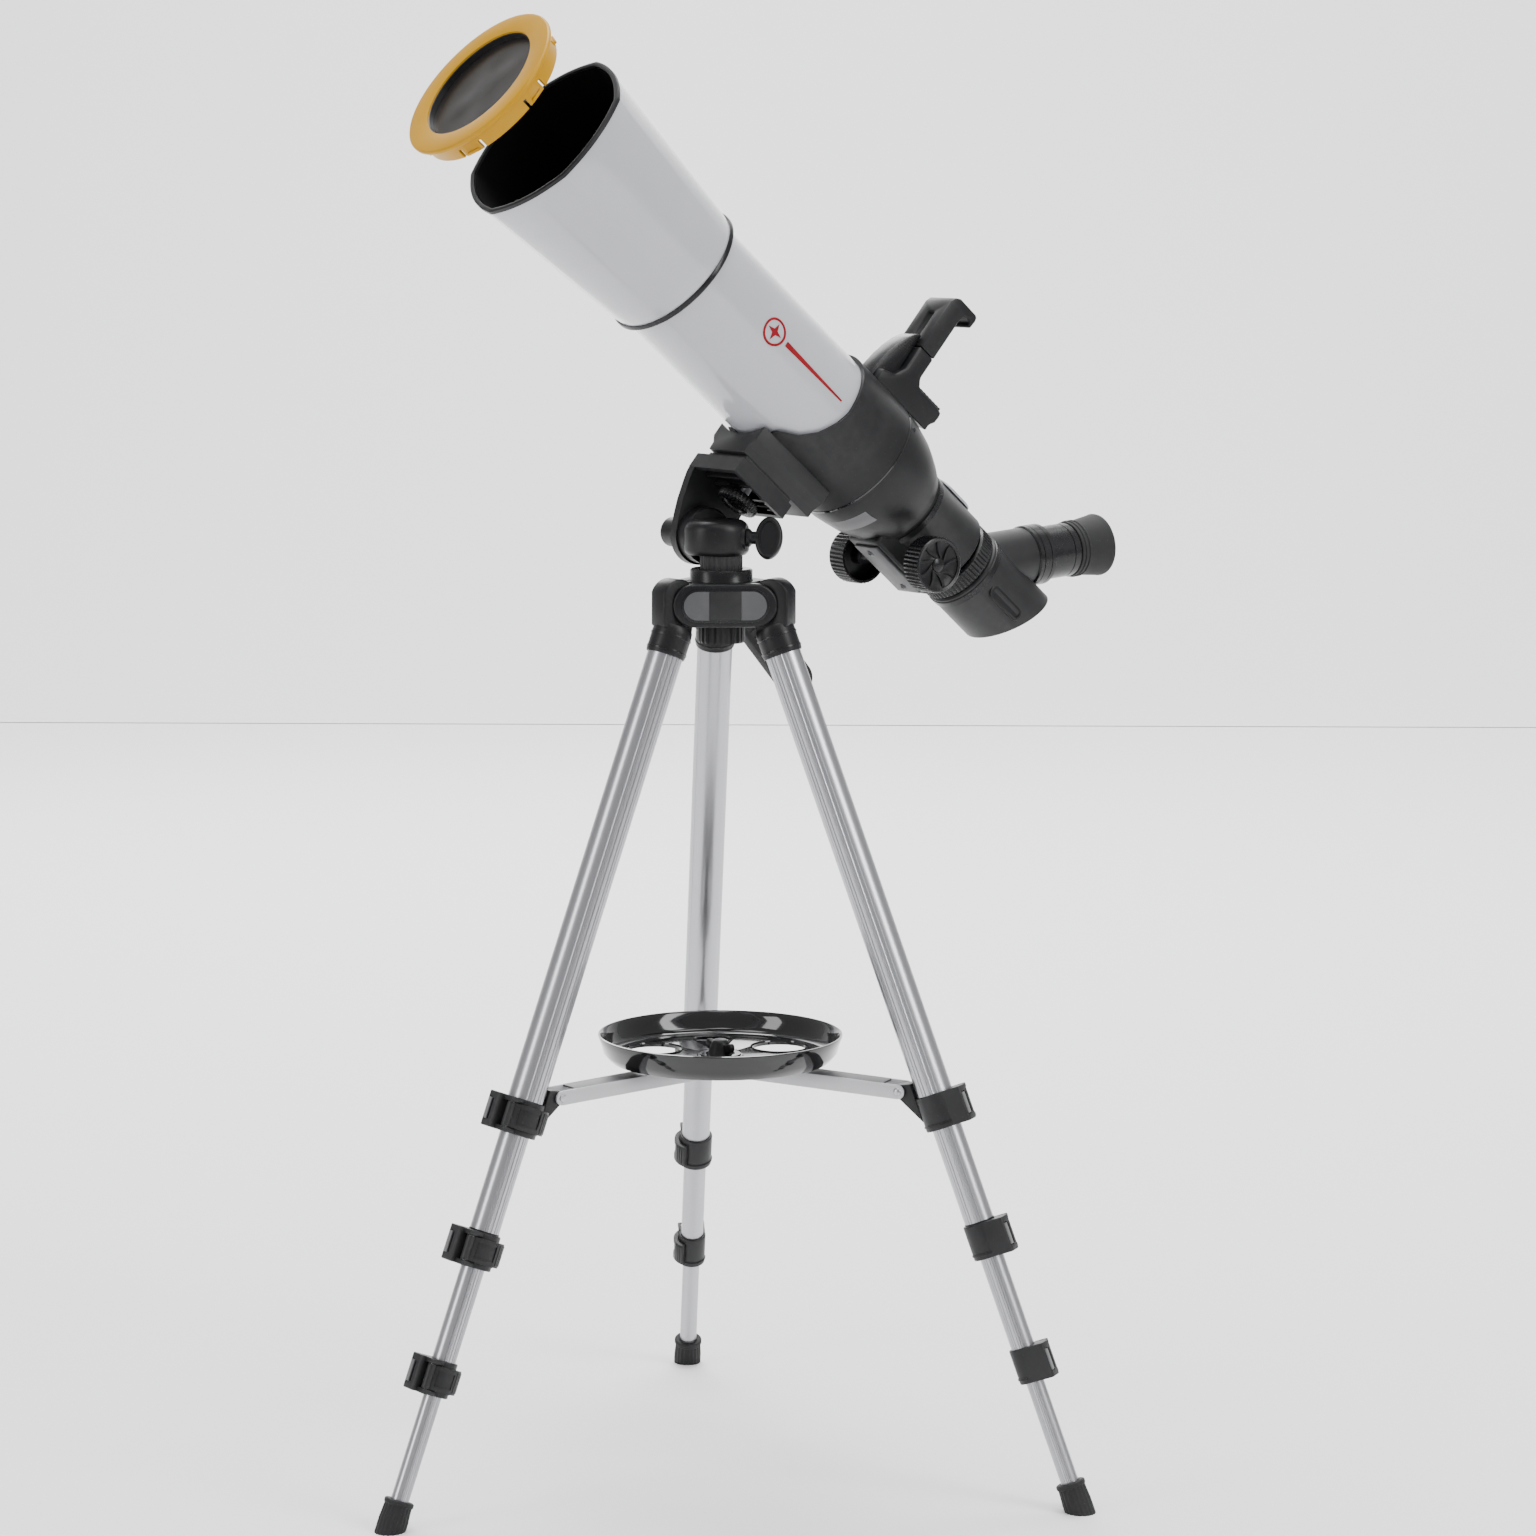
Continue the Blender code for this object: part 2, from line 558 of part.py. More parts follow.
def build_leg(tag, azimuth, stand):
    """One leg: four nested tubes, three cam clamps with their levers, and a rubber foot."""
    base = (PIVOT_RADIUS * math.cos(azimuth), PIVOT_RADIUS * math.sin(azimuth), PIVOT_HEIGHT)
    leg = joint("hinge_leg_" + tag, stand, base, (0, -SPLAY, azimuth))
    build_socket(tag, leg)
    bottoms = [top + CLAMP_HEIGHT - CLAMP_LIP - GAP for top in CLAMP_TOPS]
    leg_tube("upper_tube_" + tag, TUBE_RADII[0], TUBE_WALL, SOCKET_END / 2 + 4 * MM, bottoms[0], leg)
    build_clamp("clamp_1_" + tag, 0, CLAMP_TOPS[0], leg)
    hang_lever("1_" + tag, 0, leg)
    slide, pushed = leg, 0
    names = ["middle_tube_", "lower_tube_", "end_tube_"]
    for index in (1, 2, 3):
        pushed += EXPOSED[index - 1] - 2 * GAP
        slide = joint(f"slide_{names[index - 1]}{tag}", slide)
        bottom = bottoms[index] if index < 3 else FOOT_TOP + FOOT_WRAP - GAP
        leg_tube(names[index - 1] + tag, TUBE_RADII[index], TUBE_WALL,
                 STOWED_TOPS[index - 1] + pushed, bottom, slide)
        if index < 3:
            build_clamp(f"clamp_{index + 1}_{tag}", index, CLAMP_TOPS[index], slide)
            hang_lever(f"{index + 1}_{tag}", index, slide)
        else:
            foot = build_foot(tag, slide)
            cut(foot, block("floor_" + tag, (-1, -1, -0.1), (1, 1, 0), None, stand))


# ================================================================ spreader and tray
def outer_pivot():
    """Radius and height of an arm's outer pivot in the stand's frame."""
    inward, down = -LEG_OFFSET - LUG_OFFSET, -CLAMP_1_TOP + LUG_ABOVE
    return (PIVOT_RADIUS + inward * math.cos(SPLAY) - down * math.sin(SPLAY),
            PIVOT_HEIGHT + inward * math.sin(SPLAY) + down * math.cos(SPLAY))


def build_arm(tag, azimuth, hub, inner_height):
    """Inverted channel from the hub under the tray to a leg's first clamp."""
    reach, height = outer_pivot()
    length = math.hypot(reach - ARM_INNER_RADIUS, height - inner_height)
    droop = math.asin((inner_height - height) / length)
    base = (ARM_INNER_RADIUS * math.cos(azimuth), ARM_INNER_RADIUS * math.sin(azimuth), inner_height)
    pivot = joint("hinge_arm_" + tag, hub, base, (0, droop, azimuth))
    half, web = ARM_WIDTH / 2, ARM_HALF_DEPTH - ARM_SHEET
    arm = block("spreader_arm_" + tag, (WEB_SETBACK, -half, web),
                (length - WEB_SETBACK, half, ARM_HALF_DEPTH), CHANNEL, pivot)
    outline = pill(length + 2 * ARM_HALF_DEPTH, 2 * ARM_HALF_DEPTH, 4)
    for side in (-1, 1):
        add(arm, flat("flange", outline, ARM_SHEET, None, pivot,
                      (length / 2, side * (half - ARM_SHEET / 2), 0), UPRIGHT))
    add(arm, rod("arm_pin", ARM_PIN, -half, half, "Y", None, pivot, steps=8))


def hub_outline():
    """Round hub with a lug towards each leg, seen from above."""
    outline = []
    half, reach = HUB_LUG_WIDTH / 2, ARM_INNER_RADIUS + ARM_HALF_DEPTH - 0.4 * MM
    for azimuth in LEG_AZIMUTHS.values():
        out = Vector((math.cos(azimuth), math.sin(azimuth)))
        side = Vector((-out.y, out.x))
        outline += [tuple(out * reach - side * half), tuple(out * reach + side * half)]
        outline += arc(HUB_RADIUS, azimuth + math.radians(32), azimuth + math.radians(88), 3)
    return outline


def build_tray(hub, floor, inner_height):
    """Accessory tray with the hub that carries the arms moulded under it."""
    rim, bottom, wall = TRAY_RIM_RADIUS, TRAY_FLOOR_RADIUS, TRAY_WALL
    top = floor + TRAY_HEIGHT
    side = (rim + bottom) / 2 + 1.6 * MM
    tray = turned("tray",
                  [(0, floor + wall + TRAY_BOSS[1]), (TRAY_BOSS[0], floor + wall + TRAY_BOSS[1]),
                   (TRAY_BOSS[0], floor + wall), (bottom - MM, floor + wall),
                   (side - MM - wall, floor + 5 * MM + wall / 2), (side + 0.4 * MM - wall, top - 5 * MM),
                   (rim - wall, top), (rim, top), (side + 0.4 * MM, top - 5 * MM),
                   (side - MM, floor + 5 * MM), (bottom, floor), (0, floor)], 36, GLOSS, hub)
    under, inside = inner_height - ARM_HALF_DEPTH, floor + wall / 2
    add(tray, flat("hub", hub_outline(), inside - under, None, hub, (0, 0, (under + inside) / 2)))
    for azimuth in LEG_AZIMUTHS.values():
        cut(tray, rod("arm_pin_hole", ARM_PIN + BORE_PLAY, -HUB_LUG_WIDTH, HUB_LUG_WIDTH, "Y", None, hub,
                      (ARM_INNER_RADIUS, inner_height), 10, turn=(0, 0, azimuth)),
            flat("vent", pill(VENT_SIZE[0], VENT_SIZE[1], 4), 4 * wall, None, hub,
                 (VENT_PITCH * math.cos(azimuth), VENT_PITCH * math.sin(azimuth), floor),
                 (0, 0, azimuth + math.pi / 2)))
    for azimuth in cheek_azimuths():
        cut(tray, rod("cup_hole", CUP_HOLE_RADIUS, floor - 2 * wall, floor + 2 * wall, "Z", None, hub,
                      (CUP_HOLE_PITCH * math.cos(azimuth), CUP_HOLE_PITCH * math.sin(azimuth)), 18))
    cut(tray, rod("knob_bore", SCREW_RADIUS + BORE_PLAY, under - MM, floor + 2 * wall, "Z", None, hub,
                  steps=12))
    return tray


def build_tray_knob(hub, floor, inner_height):
    """Wing screw that holds the tray down on the spreader."""
    seat = floor + TRAY_WALL + TRAY_BOSS[1] + GAP
    pivot = joint("hinge_tray_knob", hub, (0, 0, seat))
    depth = seat - inner_height
    knob = turned("tray_knob",
                  [(0, 9 * MM), (4.5 * MM, 9 * MM), (5.5 * MM, 7.5 * MM), (7 * MM, 2 * MM), (8 * MM, 0),
                   (SCREW_RADIUS, 0), (SCREW_RADIUS, -depth), (0, -depth)], 20, BLACK, pivot)
    add(knob, block("wings", (-WING_SPAN / 2, -1.8 * MM, MM), (WING_SPAN / 2, 1.8 * MM, 8 * MM), None,
                    pivot))


def build_spreader(stand):
    reach, height = outer_pivot()
    inner_height = height + ARM_RISE
    floor = inner_height + ARM_HALF_DEPTH + TRAY_CLEARANCE
    hub = joint("slide_hub", stand)
    build_tray(hub, floor, inner_height)
    build_tray_knob(hub, floor, inner_height)
    for tag, azimuth in LEG_AZIMUTHS.items():
        build_arm(tag, azimuth, hub, inner_height)


# ================================================================ pan and tilt head
def build_pan_base(pan):
    """Drum that turns on the post, with the trunnion pin for the tilting bracket."""
    low, high = PAN_BOTTOM, PAN_BOTTOM + PAN_HEIGHT
    round_top = [(PAN_RADIUS - PAN_EDGE + x, high - PAN_EDGE + z)
                 for x, z in arc(PAN_EDGE, math.pi / 2, 0, 4)]
    base = turned("pan_base", [(0, high), *round_top, (PAN_RADIUS, low + 2 * MM),
                               (PAN_RADIUS - 2 * MM, low), (0, low)], 28, BLACK, pan,
                  (PAN_CENTRE_X, 0, 0))
    spigot = POST_RADIUS - POST_WALL - BORE_PLAY
    add(base, rod("spigot", spigot, low - SPIGOT_LENGTH, low + MM, "Z", None, pan, steps=24))
    cut(base, block("tilt_flat", (-0.1, -0.1, low - MM), (PAN_FLAT_X, 0.1, high + MM), None, pan))
    add(base, rod("trunnion", TRUNNION_RADIUS, ARM_PLATE[0] + MM, PAN_FLAT_X + MM, "X", None, pan,
                  (0, TILT_HEIGHT)))
    cut(base, rod("knob_hole", SCREW_RADIUS + BORE_PLAY, pan_face() - 7 * MM, pan_face() + 9 * MM, "X",
                  None, pan, (0, TILT_HEIGHT), turn=(0, 0, PAN_KNOB_AZIMUTH)))
    return base


def pan_face():
    """How far the drum reaches from the pan axis towards the lock knob."""
    offset = -PAN_CENTRE_X
    return (math.sqrt(PAN_RADIUS ** 2 - (offset * math.sin(PAN_KNOB_AZIMUTH)) ** 2)
            - offset * math.cos(PAN_KNOB_AZIMUTH))


def build_pan_knob(pan):
    """Thumb screw that locks the pan; its frame's X is the screw's axis."""
    pivot = joint("hinge_pan_knob", pan, (0, 0, TILT_HEIGHT), (0, 0, PAN_KNOB_AZIMUTH))
    start = pan_face() + GAP
    stem, neck = -start + 5 * MM, -start - 7 * MM
    knob = turned("pan_knob",
                  [(0, stem), (SCREW_RADIUS, stem), (SCREW_RADIUS, -start), (5.4 * MM, -start),
                   (5.4 * MM, -start - 2 * MM), (3.8 * MM, -start - 3 * MM), (3.8 * MM, neck),
                   (0, neck)], 14, BLACK, pivot, turn=(0, -math.pi / 2, 0))
    paddle = [(start + 13 * MM + 8.2 * MM * math.cos(t), 13 * MM * math.sin(t))
              for t in (2 * math.pi * i / 20 for i in range(20))]
    add(knob, flat("paddle", paddle, 6 * MM, None, pivot, turn=(math.pi / 2 - math.radians(25), 0, 0)))
    return knob


def bracket_outline():
    """Side plate: round about the tilt axis, flared forward up to the platform."""
    low = math.radians(205)
    end = math.radians(355)
    return (arc(ARM_END_RADIUS, low, end, 14)
            + [(PLATFORM_Y[1], PLATFORM_Z[0]), (PLATFORM_Y[1], PLATFORM_Z[1]),
               (PLATFORM_Y[0] + 5 * MM, PLATFORM_Z[1]), (PLATFORM_Y[0] + MM, PLATFORM_Z[1] - 2 * MM),
               (PLATFORM_Y[0], PLATFORM_Z[1] - 7 * MM), (PLATFORM_Y[0] + 2 * MM, PLATFORM_Z[0] - 8 * MM)])


def build_bracket(tilt):
    """Tilting L: hub disc, side plate and the platform with its pad."""
    outer, inner = ARM_PLATE
    bracket = flat("tilt_bracket", bracket_outline(), inner - outer, BLACK, tilt,
                   ((outer + inner) / 2, 0, 0), ON_SIDE)
    add(bracket,
        rod("hub_disc", HUB_DISC_RADIUS, inner - MM, PAN_FLAT_X - GAP, "X", None, tilt, steps=28),
        rod("boss", BOSS_RADIUS, BOSS_END, outer + MM, "X", None, tilt, steps=20),
        block("platform", (PLATFORM_X[0], PLATFORM_Y[0], PLATFORM_Z[0]),
              (PLATFORM_X[1], PLATFORM_Y[1], PLATFORM_Z[1]), None, tilt),
        block("pad", (PLATFORM_X[0] + 8 * MM, PLATFORM_Y[0] + 2 * MM, PLATFORM_Z[1] - MM),
              (PLATFORM_X[1] - MM, PLATFORM_Y[1] - 2 * MM, PAD_TOP), None, tilt))
    cut(bracket,
        block("platform_pocket",
              (inner, PLATFORM_Y[0] + PLATFORM_SHEET, PLATFORM_Z[0] - MM),
              (PLATFORM_X[1] - PLATFORM_SHEET, PLATFORM_Y[1] - PLATFORM_SHEET,
               PLATFORM_Z[1] - PLATFORM_SHEET), None, tilt),
        rod("trunnion_bore", TRUNNION_RADIUS + BORE_PLAY, outer + 0.7 * MM, 0, "X", None, tilt),
        rod("screw_hole", SCREW_RADIUS + BORE_PLAY, PLATFORM_Z[0], PAD_TOP + MM, "Z", None, tilt,
            (0, SCREW_Y)),
        rod("handle_hole", SCREW_RADIUS + BORE_PLAY, 0, BOSS_RADIUS + MM, "Y", None, tilt,
            (HANDLE_X, HANDLE_LIFT), turn=(-HANDLE_DROOP, 0, 0)))
    return bracket


def build_handle(tilt):
    """Pan handle: a threaded stem and a flattened grip, along -Z of its own frame."""
    pivot = joint("hinge_handle", tilt, (HANDLE_X, 0, HANDLE_LIFT), (-HANDLE_DROOP, 0, 0))
    seat = BOSS_RADIUS + MM
    stem = 3.6 * MM
    handle = turned("handle",
                    [(0, -HANDLE_START + 3 * MM), (SCREW_RADIUS, -HANDLE_START + 3 * MM),
                     (SCREW_RADIUS, -seat), (stem, -seat), (stem, -HANDLE_GRIP_START - 4 * MM),
                     (0, -HANDLE_GRIP_START - 4 * MM)], 14, BLACK, pivot, turn=(math.pi / 2, 0, 0))
    length = HANDLE_END - HANDLE_GRIP_START
    middle = (HANDLE_END + HANDLE_GRIP_START) / 2
    grip = flat("grip", pill(length, GRIP_WIDTH, 7), GRIP_THICKNESS, None, pivot, (0, middle, 0),
                ON_SIDE)
    add(handle, grip)
    return handle


def build_camera_screw(tilt):
    """Captive screw that draws the telescope's foot down on the pad."""
    pivot = joint("hinge_camera_screw", tilt, (0, SCREW_Y, 0))
    low, high = SCREW_KNOB_Z
    top = PAD_TOP + GAP + SCREW_ENTRY
    return turned("camera_screw",
                  [(0, top), (SCREW_RADIUS, top), (SCREW_RADIUS, high), (SCREW_KNOB_RADIUS, high),
                   (SCREW_KNOB_RADIUS, low), (0, low)], 24, BLACK, pivot)


# ================================================================ telescope
def build_tube(scope):
    inner = TUBE_OUTER - SHEET
    return turned("optical_tube",
                  [(TUBE_OUTER, TUBE_FRONT), (TUBE_OUTER, -TUBE_SEAT), (inner, -TUBE_SEAT),
                   (inner, TUBE_FRONT)], 40, WHITE, scope, turn=FORWARD)


def build_lens(scope):
    """Objective lens, convex on both faces."""
    edge, reach = LENS_EDGE / 2, LENS_RADIUS
    front = [(reach * share, LENS_MIDDLE + edge + LENS_BULGE * (1 - share ** 2))
             for share in (0, 0.5, 1)]
    rear = [(radius, 2 * LENS_MIDDLE - z) for radius, z in reversed(front)]
    return turned("objective_lens", front + rear, 32, GLASS, scope, turn=FORWARD)


def hood_ring(bm, along, radius, wave, steps=36):
    """One ring of the hood's loft: a circle drawn out into soft lobes."""
    ring = []
    for i in range(steps):
        angle = 2 * math.pi * i / steps
        reach = radius * (1 + wave * math.cos(HOOD_LOBES * (angle - math.radians(30))))
        ring.append(bm.verts.new((reach * math.cos(angle), -along, reach * math.sin(angle))))
    return ring


def build_hood(scope):
    """Dew hood: a loft from the round seat on the tube to the lobed mouth."""
    seat = TUBE_OUTER + GAP
    throat = TUBE_FRONT + GAP
    span = HOOD_FRONT - HOOD_REAR
    middle = HOOD_REAR + 0.5 * span
    half = (HOOD_REAR_RADIUS + HOOD_FRONT_RADIUS) / 2
    rings = [(HOOD_REAR, HOOD_REAR_RADIUS, 0), (middle, half, HOOD_WAVE * 0.6),
             (HOOD_FRONT, HOOD_FRONT_RADIUS, HOOD_WAVE),
             (HOOD_FRONT, HOOD_FRONT_RADIUS - HOOD_WALL, HOOD_WAVE),
             (middle, half - HOOD_WALL, HOOD_WAVE * 0.6), (throat, seat, 0), (HOOD_REAR, seat, 0)]
    bm = bmesh.new()
    made = [hood_ring(bm, *ring) for ring in rings]
    count = len(made[0])
    for ring, following in zip(made, made[1:] + made[:1]):
        for i in range(count):
            j = (i + 1) % count
            bm.faces.new((ring[i], ring[j], following[j], following[i]))
    bmesh.ops.recalc_face_normals(bm, faces=bm.faces)
    mesh = bpy.data.meshes.new("hood")
    bm.to_mesh(mesh)
    bm.free()
    return place("hood", mesh, WHITE, scope)


def build_housing(scope):
    """Rear casting: collar, dome, focuser neck, pinion block and the foot under them."""
    draw_bore = DRAW_RADIUS + BORE_PLAY
    tube_bore = TUBE_OUTER + GAP
    housing = turned(
        "rear_housing",
        [(0, -CRADLE_Y), (COLLAR_OUTER, -CRADLE_Y), (COLLAR_OUTER, -46 * MM), (40.2 * MM, -63 * MM),
         (35.8 * MM, -78 * MM), (29.5 * MM, -DOME_END), (NECK_RADIUS, -DOME_END - 2 * MM),
         (NECK_RADIUS, -NECK_END), (0, -NECK_END)], 40, BLACK, scope, turn=FORWARD)
    foot, top = PAD_TOP + GAP - AXIS_HEIGHT, -COLLAR_OUTER + 8 * MM
    low, high = SHOE_HALF_WIDTHS
    shoe = [(-low, foot), (low, foot), (low, foot + 5 * MM), (high, foot + 10 * MM), (high, top),
            (-high, top), (-high, foot + 10 * MM), (-low, foot + 5 * MM)]
    add(housing,
        flat("shoe", shoe, SHOE_Y[1] - SHOE_Y[0], None, scope,
             (0, (SHOE_Y[0] + SHOE_Y[1]) / 2, 0), UPRIGHT),
        block("pinion_block", (-BLOCK_HALF, DOME_END - 8 * MM, -BLOCK_BOTTOM),
              (BLOCK_HALF, NECK_END - 2 * MM, -DRAW_RADIUS + 4 * MM), None, scope))
    front, seat = MM - SHOE_Y[0], -TUBE_SEAT - GAP
    rack_slot = RACK_HALF + BORE_PLAY
    sweep = [(2 * SHOE_Y[0], 2 * COLLAR_OUTER), (0, 2 * COLLAR_OUTER), (0, 0),
             (-6 * MM, -20 * MM), (CRADLE_Y, -0.8 * COLLAR_OUTER), (2 * SHOE_Y[0], -0.8 * COLLAR_OUTER)]
    cut(housing,
        flat("collar_sweep", sweep, 4 * COLLAR_OUTER, None, scope, turn=ON_SIDE),
        turned("light_way",
               [(0, front), (tube_bore, front), (tube_bore, seat), (38.6 * MM, seat),
                (38.6 * MM, -44 * MM), (37 * MM, -60 * MM), (32.8 * MM, -74.5 * MM),
                (draw_bore, -DOME_END + 4 * MM), (draw_bore, -NECK_END - MM), (0, -NECK_END - MM)],
               40, None, scope, turn=FORWARD),
        block("rack_way", (-rack_slot, DOME_END - 24 * MM, RACK_BOTTOM - GAP),
              (rack_slot, NECK_END + 2 * MM, -10 * MM), None, scope),
        rod("shaft_bore", SHAFT_RADIUS + BORE_PLAY, -0.04, 0.04, "X", None, scope,
            (SHAFT_Y, -SHAFT_DROP), 12),
        rod("pinion_pocket", PINION_RADIUS + 2 * BORE_PLAY, -PINION_HALF - GAP, PINION_HALF + GAP, "X",
            None, scope, (SHAFT_Y, -SHAFT_DROP), 14),
        rod("screw_socket", SCREW_RADIUS + BORE_PLAY, foot - MM, foot + SCREW_ENTRY + MM, "Z", None,
            scope, (0, SCREW_Y), 12))
    return housing


def build_draw_tube(draw):
    """Focuser's sliding tube with its rack and knurled ring."""
    inner = DRAW_RADIUS - DRAW_WALL
    front, rear = DRAW_FLANGE
    tube = turned("draw_tube",
                  [(DRAW_RADIUS, -DRAW_FRONT), (DRAW_RADIUS, -front), (FLANGE_RADIUS, -front),
                   (FLANGE_RADIUS, -rear), (inner, -rear), (inner, -DRAW_FRONT)],
                  32, BLACK, draw, turn=FORWARD)
    add(tube, block("rack", (-RACK_HALF, DRAW_FRONT + 4 * MM, RACK_BOTTOM),
                    (RACK_HALF, front - 4 * MM, -inner - MM), None, draw))
    return tube


def build_focus_shaft(scope):
    """Pinion shaft with a focus knob on each end."""
    pivot = joint("hinge_focus", scope, (0, SHAFT_Y, -SHAFT_DROP))
    start, end = KNOB_SPAN
    half = [(0, end), (KNOB_RADIUS - 2 * MM, end), (KNOB_RADIUS, end - 2 * MM), (KNOB_RADIUS, start),
            (KNOB_RADIUS - 2 * MM, start), (KNOB_RADIUS - 2 * MM, start + 6 * MM),
            (SHAFT_RADIUS + 3 * MM, start + 6 * MM), (SHAFT_RADIUS + 3 * MM, start),
            (SHAFT_RADIUS, start), (SHAFT_RADIUS, PINION_HALF), (PINION_RADIUS, PINION_HALF)]
    mirrored = [(radius, -z) for radius, z in reversed(half)]
    return turned("focus_shaft", half + mirrored, 20, BLACK, pivot, turn=(0, math.pi / 2, 0))


def along_branch(distance):
    """A place on the eyepiece axis, in the telescope's frame."""
    return Vector((0, BRANCH_Y + distance * math.cos(BRANCH_TURN), distance * math.sin(BRANCH_TURN)))


BRANCH = (BRANCH_TURN - math.pi / 2, 0, 0)   # Z of a turned solid becomes the eyepiece axis


def build_diagonal(turret):
    """Prism housing that turns the view up by half a right angle."""
    mouth, rear = DIAGONAL_MOUTH, DIAGONAL_REAR
    diagonal = rod("diagonal", DIAGONAL_RADIUS, mouth, rear + 0.02, "Y", GREY, turret, steps=32)
    lean = math.pi / 2 - BRANCH_TURN / 2
    cut(diagonal, block("prism_face", (-0.1, 0, -0.1), (0.1, 0.1, 0.1), None, turret, (0, rear, 0),
                        (lean - math.pi / 2, 0, 0)))
    origin = along_branch(0)
    add(diagonal,
        rod("branch", BRANCH_RADIUS, 20 * MM, HOLDER[0] + MM, "Z", None, turret, steps=24, at=origin,
            turn=BRANCH),
        rod("holder", HOLDER_RADIUS, HOLDER[0], HOLDER[1], "Z", None, turret, steps=24, at=origin,
            turn=BRANCH),
        rod("nose", NOSE_RADIUS, mouth - NOSE_LENGTH, mouth + MM, "Y", None, turret, steps=24))
    cut(diagonal,
        rod("entry_bore", LIGHT_BORE, mouth - NOSE_LENGTH - MM, mouth + 34 * MM, "Y", None, turret,
            steps=24),
        rod("exit_bore", LIGHT_BORE, 25 * MM, HOLDER[1] + MM, "Z", None, turret, steps=24, at=origin,
            turn=BRANCH))
    return diagonal


def build_eyepiece(turret):
    """Eyepiece barrel in the holder, and the rubber cup over its eye end."""
    slide = joint("slide_eyepiece", turret, along_branch(0), BRANCH)
    start, end = EYEPIECE_BODY
    turned("eyepiece",
           [(EYE_SEAT_RADIUS, EYE_SEAT_END), (EYE_SEAT_RADIUS, end), (EYEPIECE_RADIUS, end),
            (EYEPIECE_RADIUS, start), (BARREL_RADIUS, start), (BARREL_RADIUS, BARREL_START),
            (BARREL_RADIUS - 1.5 * MM, BARREL_START), (BARREL_RADIUS - 1.5 * MM, start),
            (EYE_LENS_BORE, end), (EYE_LENS_BORE, EYE_SEAT_END)], 24, BLACK, slide)
    seat = EYE_SEAT_RADIUS + GAP
    turned("eyecup",
           [(EYECUP_RADIUS, EYECUP_END), (EYEPIECE_RADIUS + 0.6 * MM, end + 10 * MM),
            (EYEPIECE_RADIUS + 0.6 * MM, end + GAP), (seat, end + GAP),
            (seat, EYE_SEAT_END + GAP), (EYECUP_RADIUS - 2.5 * MM, EYECUP_END)],
           24, RUBBER, slide)


def build_phone_holder(scope):
    """Clamp for a telephone: a fixed lower jaw on the housing and a sprung upper jaw."""
    half = HOLDER_HALF_WIDTH
    saddle = COLLAR_OUTER - 6 * MM
    holder = block("phone_holder", (-half, BASE_Y[0], saddle), (half, BASE_Y[1], BASE_TOP - 7 * MM),
                   BLACK, scope)
    lobe = [(BASE_Y[0] - 2 * MM, saddle), (BASE_Y[0] - MM, 55 * MM), (BASE_Y[0] + 2 * MM, 68 * MM),
            (BASE_Y[0] + 7 * MM, 80 * MM), (SPINE_Y[0] - 3 * MM, 84.5 * MM), (SPINE_Y[0] - GAP, 84.5 * MM),
            (SPINE_Y[0] - GAP, 60 * MM), (SPINE_Y[0] + 5 * MM, saddle)]
    add(holder,
        block("lower_spine", (-half, SPINE_Y[0], saddle), (half, SPINE_Y[1], JAW_BOTTOM - GAP), None,
              scope),
        block("lower_jaw", (-half, SPINE_Y[1] - MM, BASE_TOP - 9 * MM),
              (half, BASE_Y[1] + 3 * MM, BASE_TOP), None, scope),
        flat("lobe", lobe, 15 * MM, None, scope, turn=ON_SIDE),
        block("rail", (-RAIL_HALF_WIDTH, RAIL_Y[0], BASE_TOP), (RAIL_HALF_WIDTH, RAIL_Y[1], RAIL_TOP),
              None, scope))
    cut(holder, rod("saddle", COLLAR_OUTER + GAP, 0, 0.1, "Y", None, scope, steps=48))
    slide = joint("slide_jaw", scope)
    jaw = block("phone_jaw", (-half, SPINE_Y[0], JAW_BOTTOM), (half, SPINE_Y[1], JAW_TOP), BLACK, slide)
    add(jaw, block("upper_jaw", (-half, SPINE_Y[1] - MM, JAW_TOP - 6 * MM),
                   (half, JAW_REACH, JAW_TOP), None, slide),
        block("jaw_tip", (-half, JAW_REACH - 2 * MM, JAW_TOP - 9 * MM), (half, JAW_REACH, JAW_TOP - MM),
              None, slide))
    cut(jaw, block("rail_way", (-RAIL_HALF_WIDTH - GAP, RAIL_Y[0] - GAP, JAW_BOTTOM - MM),
                   (RAIL_HALF_WIDTH + GAP, RAIL_Y[1] + GAP, RAIL_TOP + MM), None, slide))


def build_cap(scope):
    """Solar filter cap: a yellow ring with snap tabs that holds a dark film."""
    slide = joint("slide_cap", scope, (0, 0, -CAP_SAG))
    front = CAP_FRONT
    film, rear = front - FILM_BACK, front - CAP_DEPTH
    skirt, inner = CAP_SKIRT_RADIUS, CAP_SKIRT_RADIUS - CAP_WALL
    cap = turned("solar_cap",
                 [(0, film), (CAP_HOLE_RADIUS, film), (CAP_HOLE_RADIUS, front), (CAP_RADIUS, front),
                  (CAP_RADIUS, front - CAP_FLANGE), (skirt, front - CAP_FLANGE), (skirt, rear),
                  (inner, rear), (inner, film - FILM_THICKNESS), (0, film - FILM_THICKNESS)],
                 40, YELLOW, slide, turn=FORWARD)
    for i in range(CAP_TABS):
        angle = 2 * math.pi * i / CAP_TABS
        for side in (-1, 1):
            cut(cap, block("tab_notch", (inner - MM, -rear - CAP_FLANGE * 2, -MM),
                           (skirt + MM, -rear + MM, MM), None, slide,
                           turn=(0, angle + side * math.radians(9), 0)))
    return cap


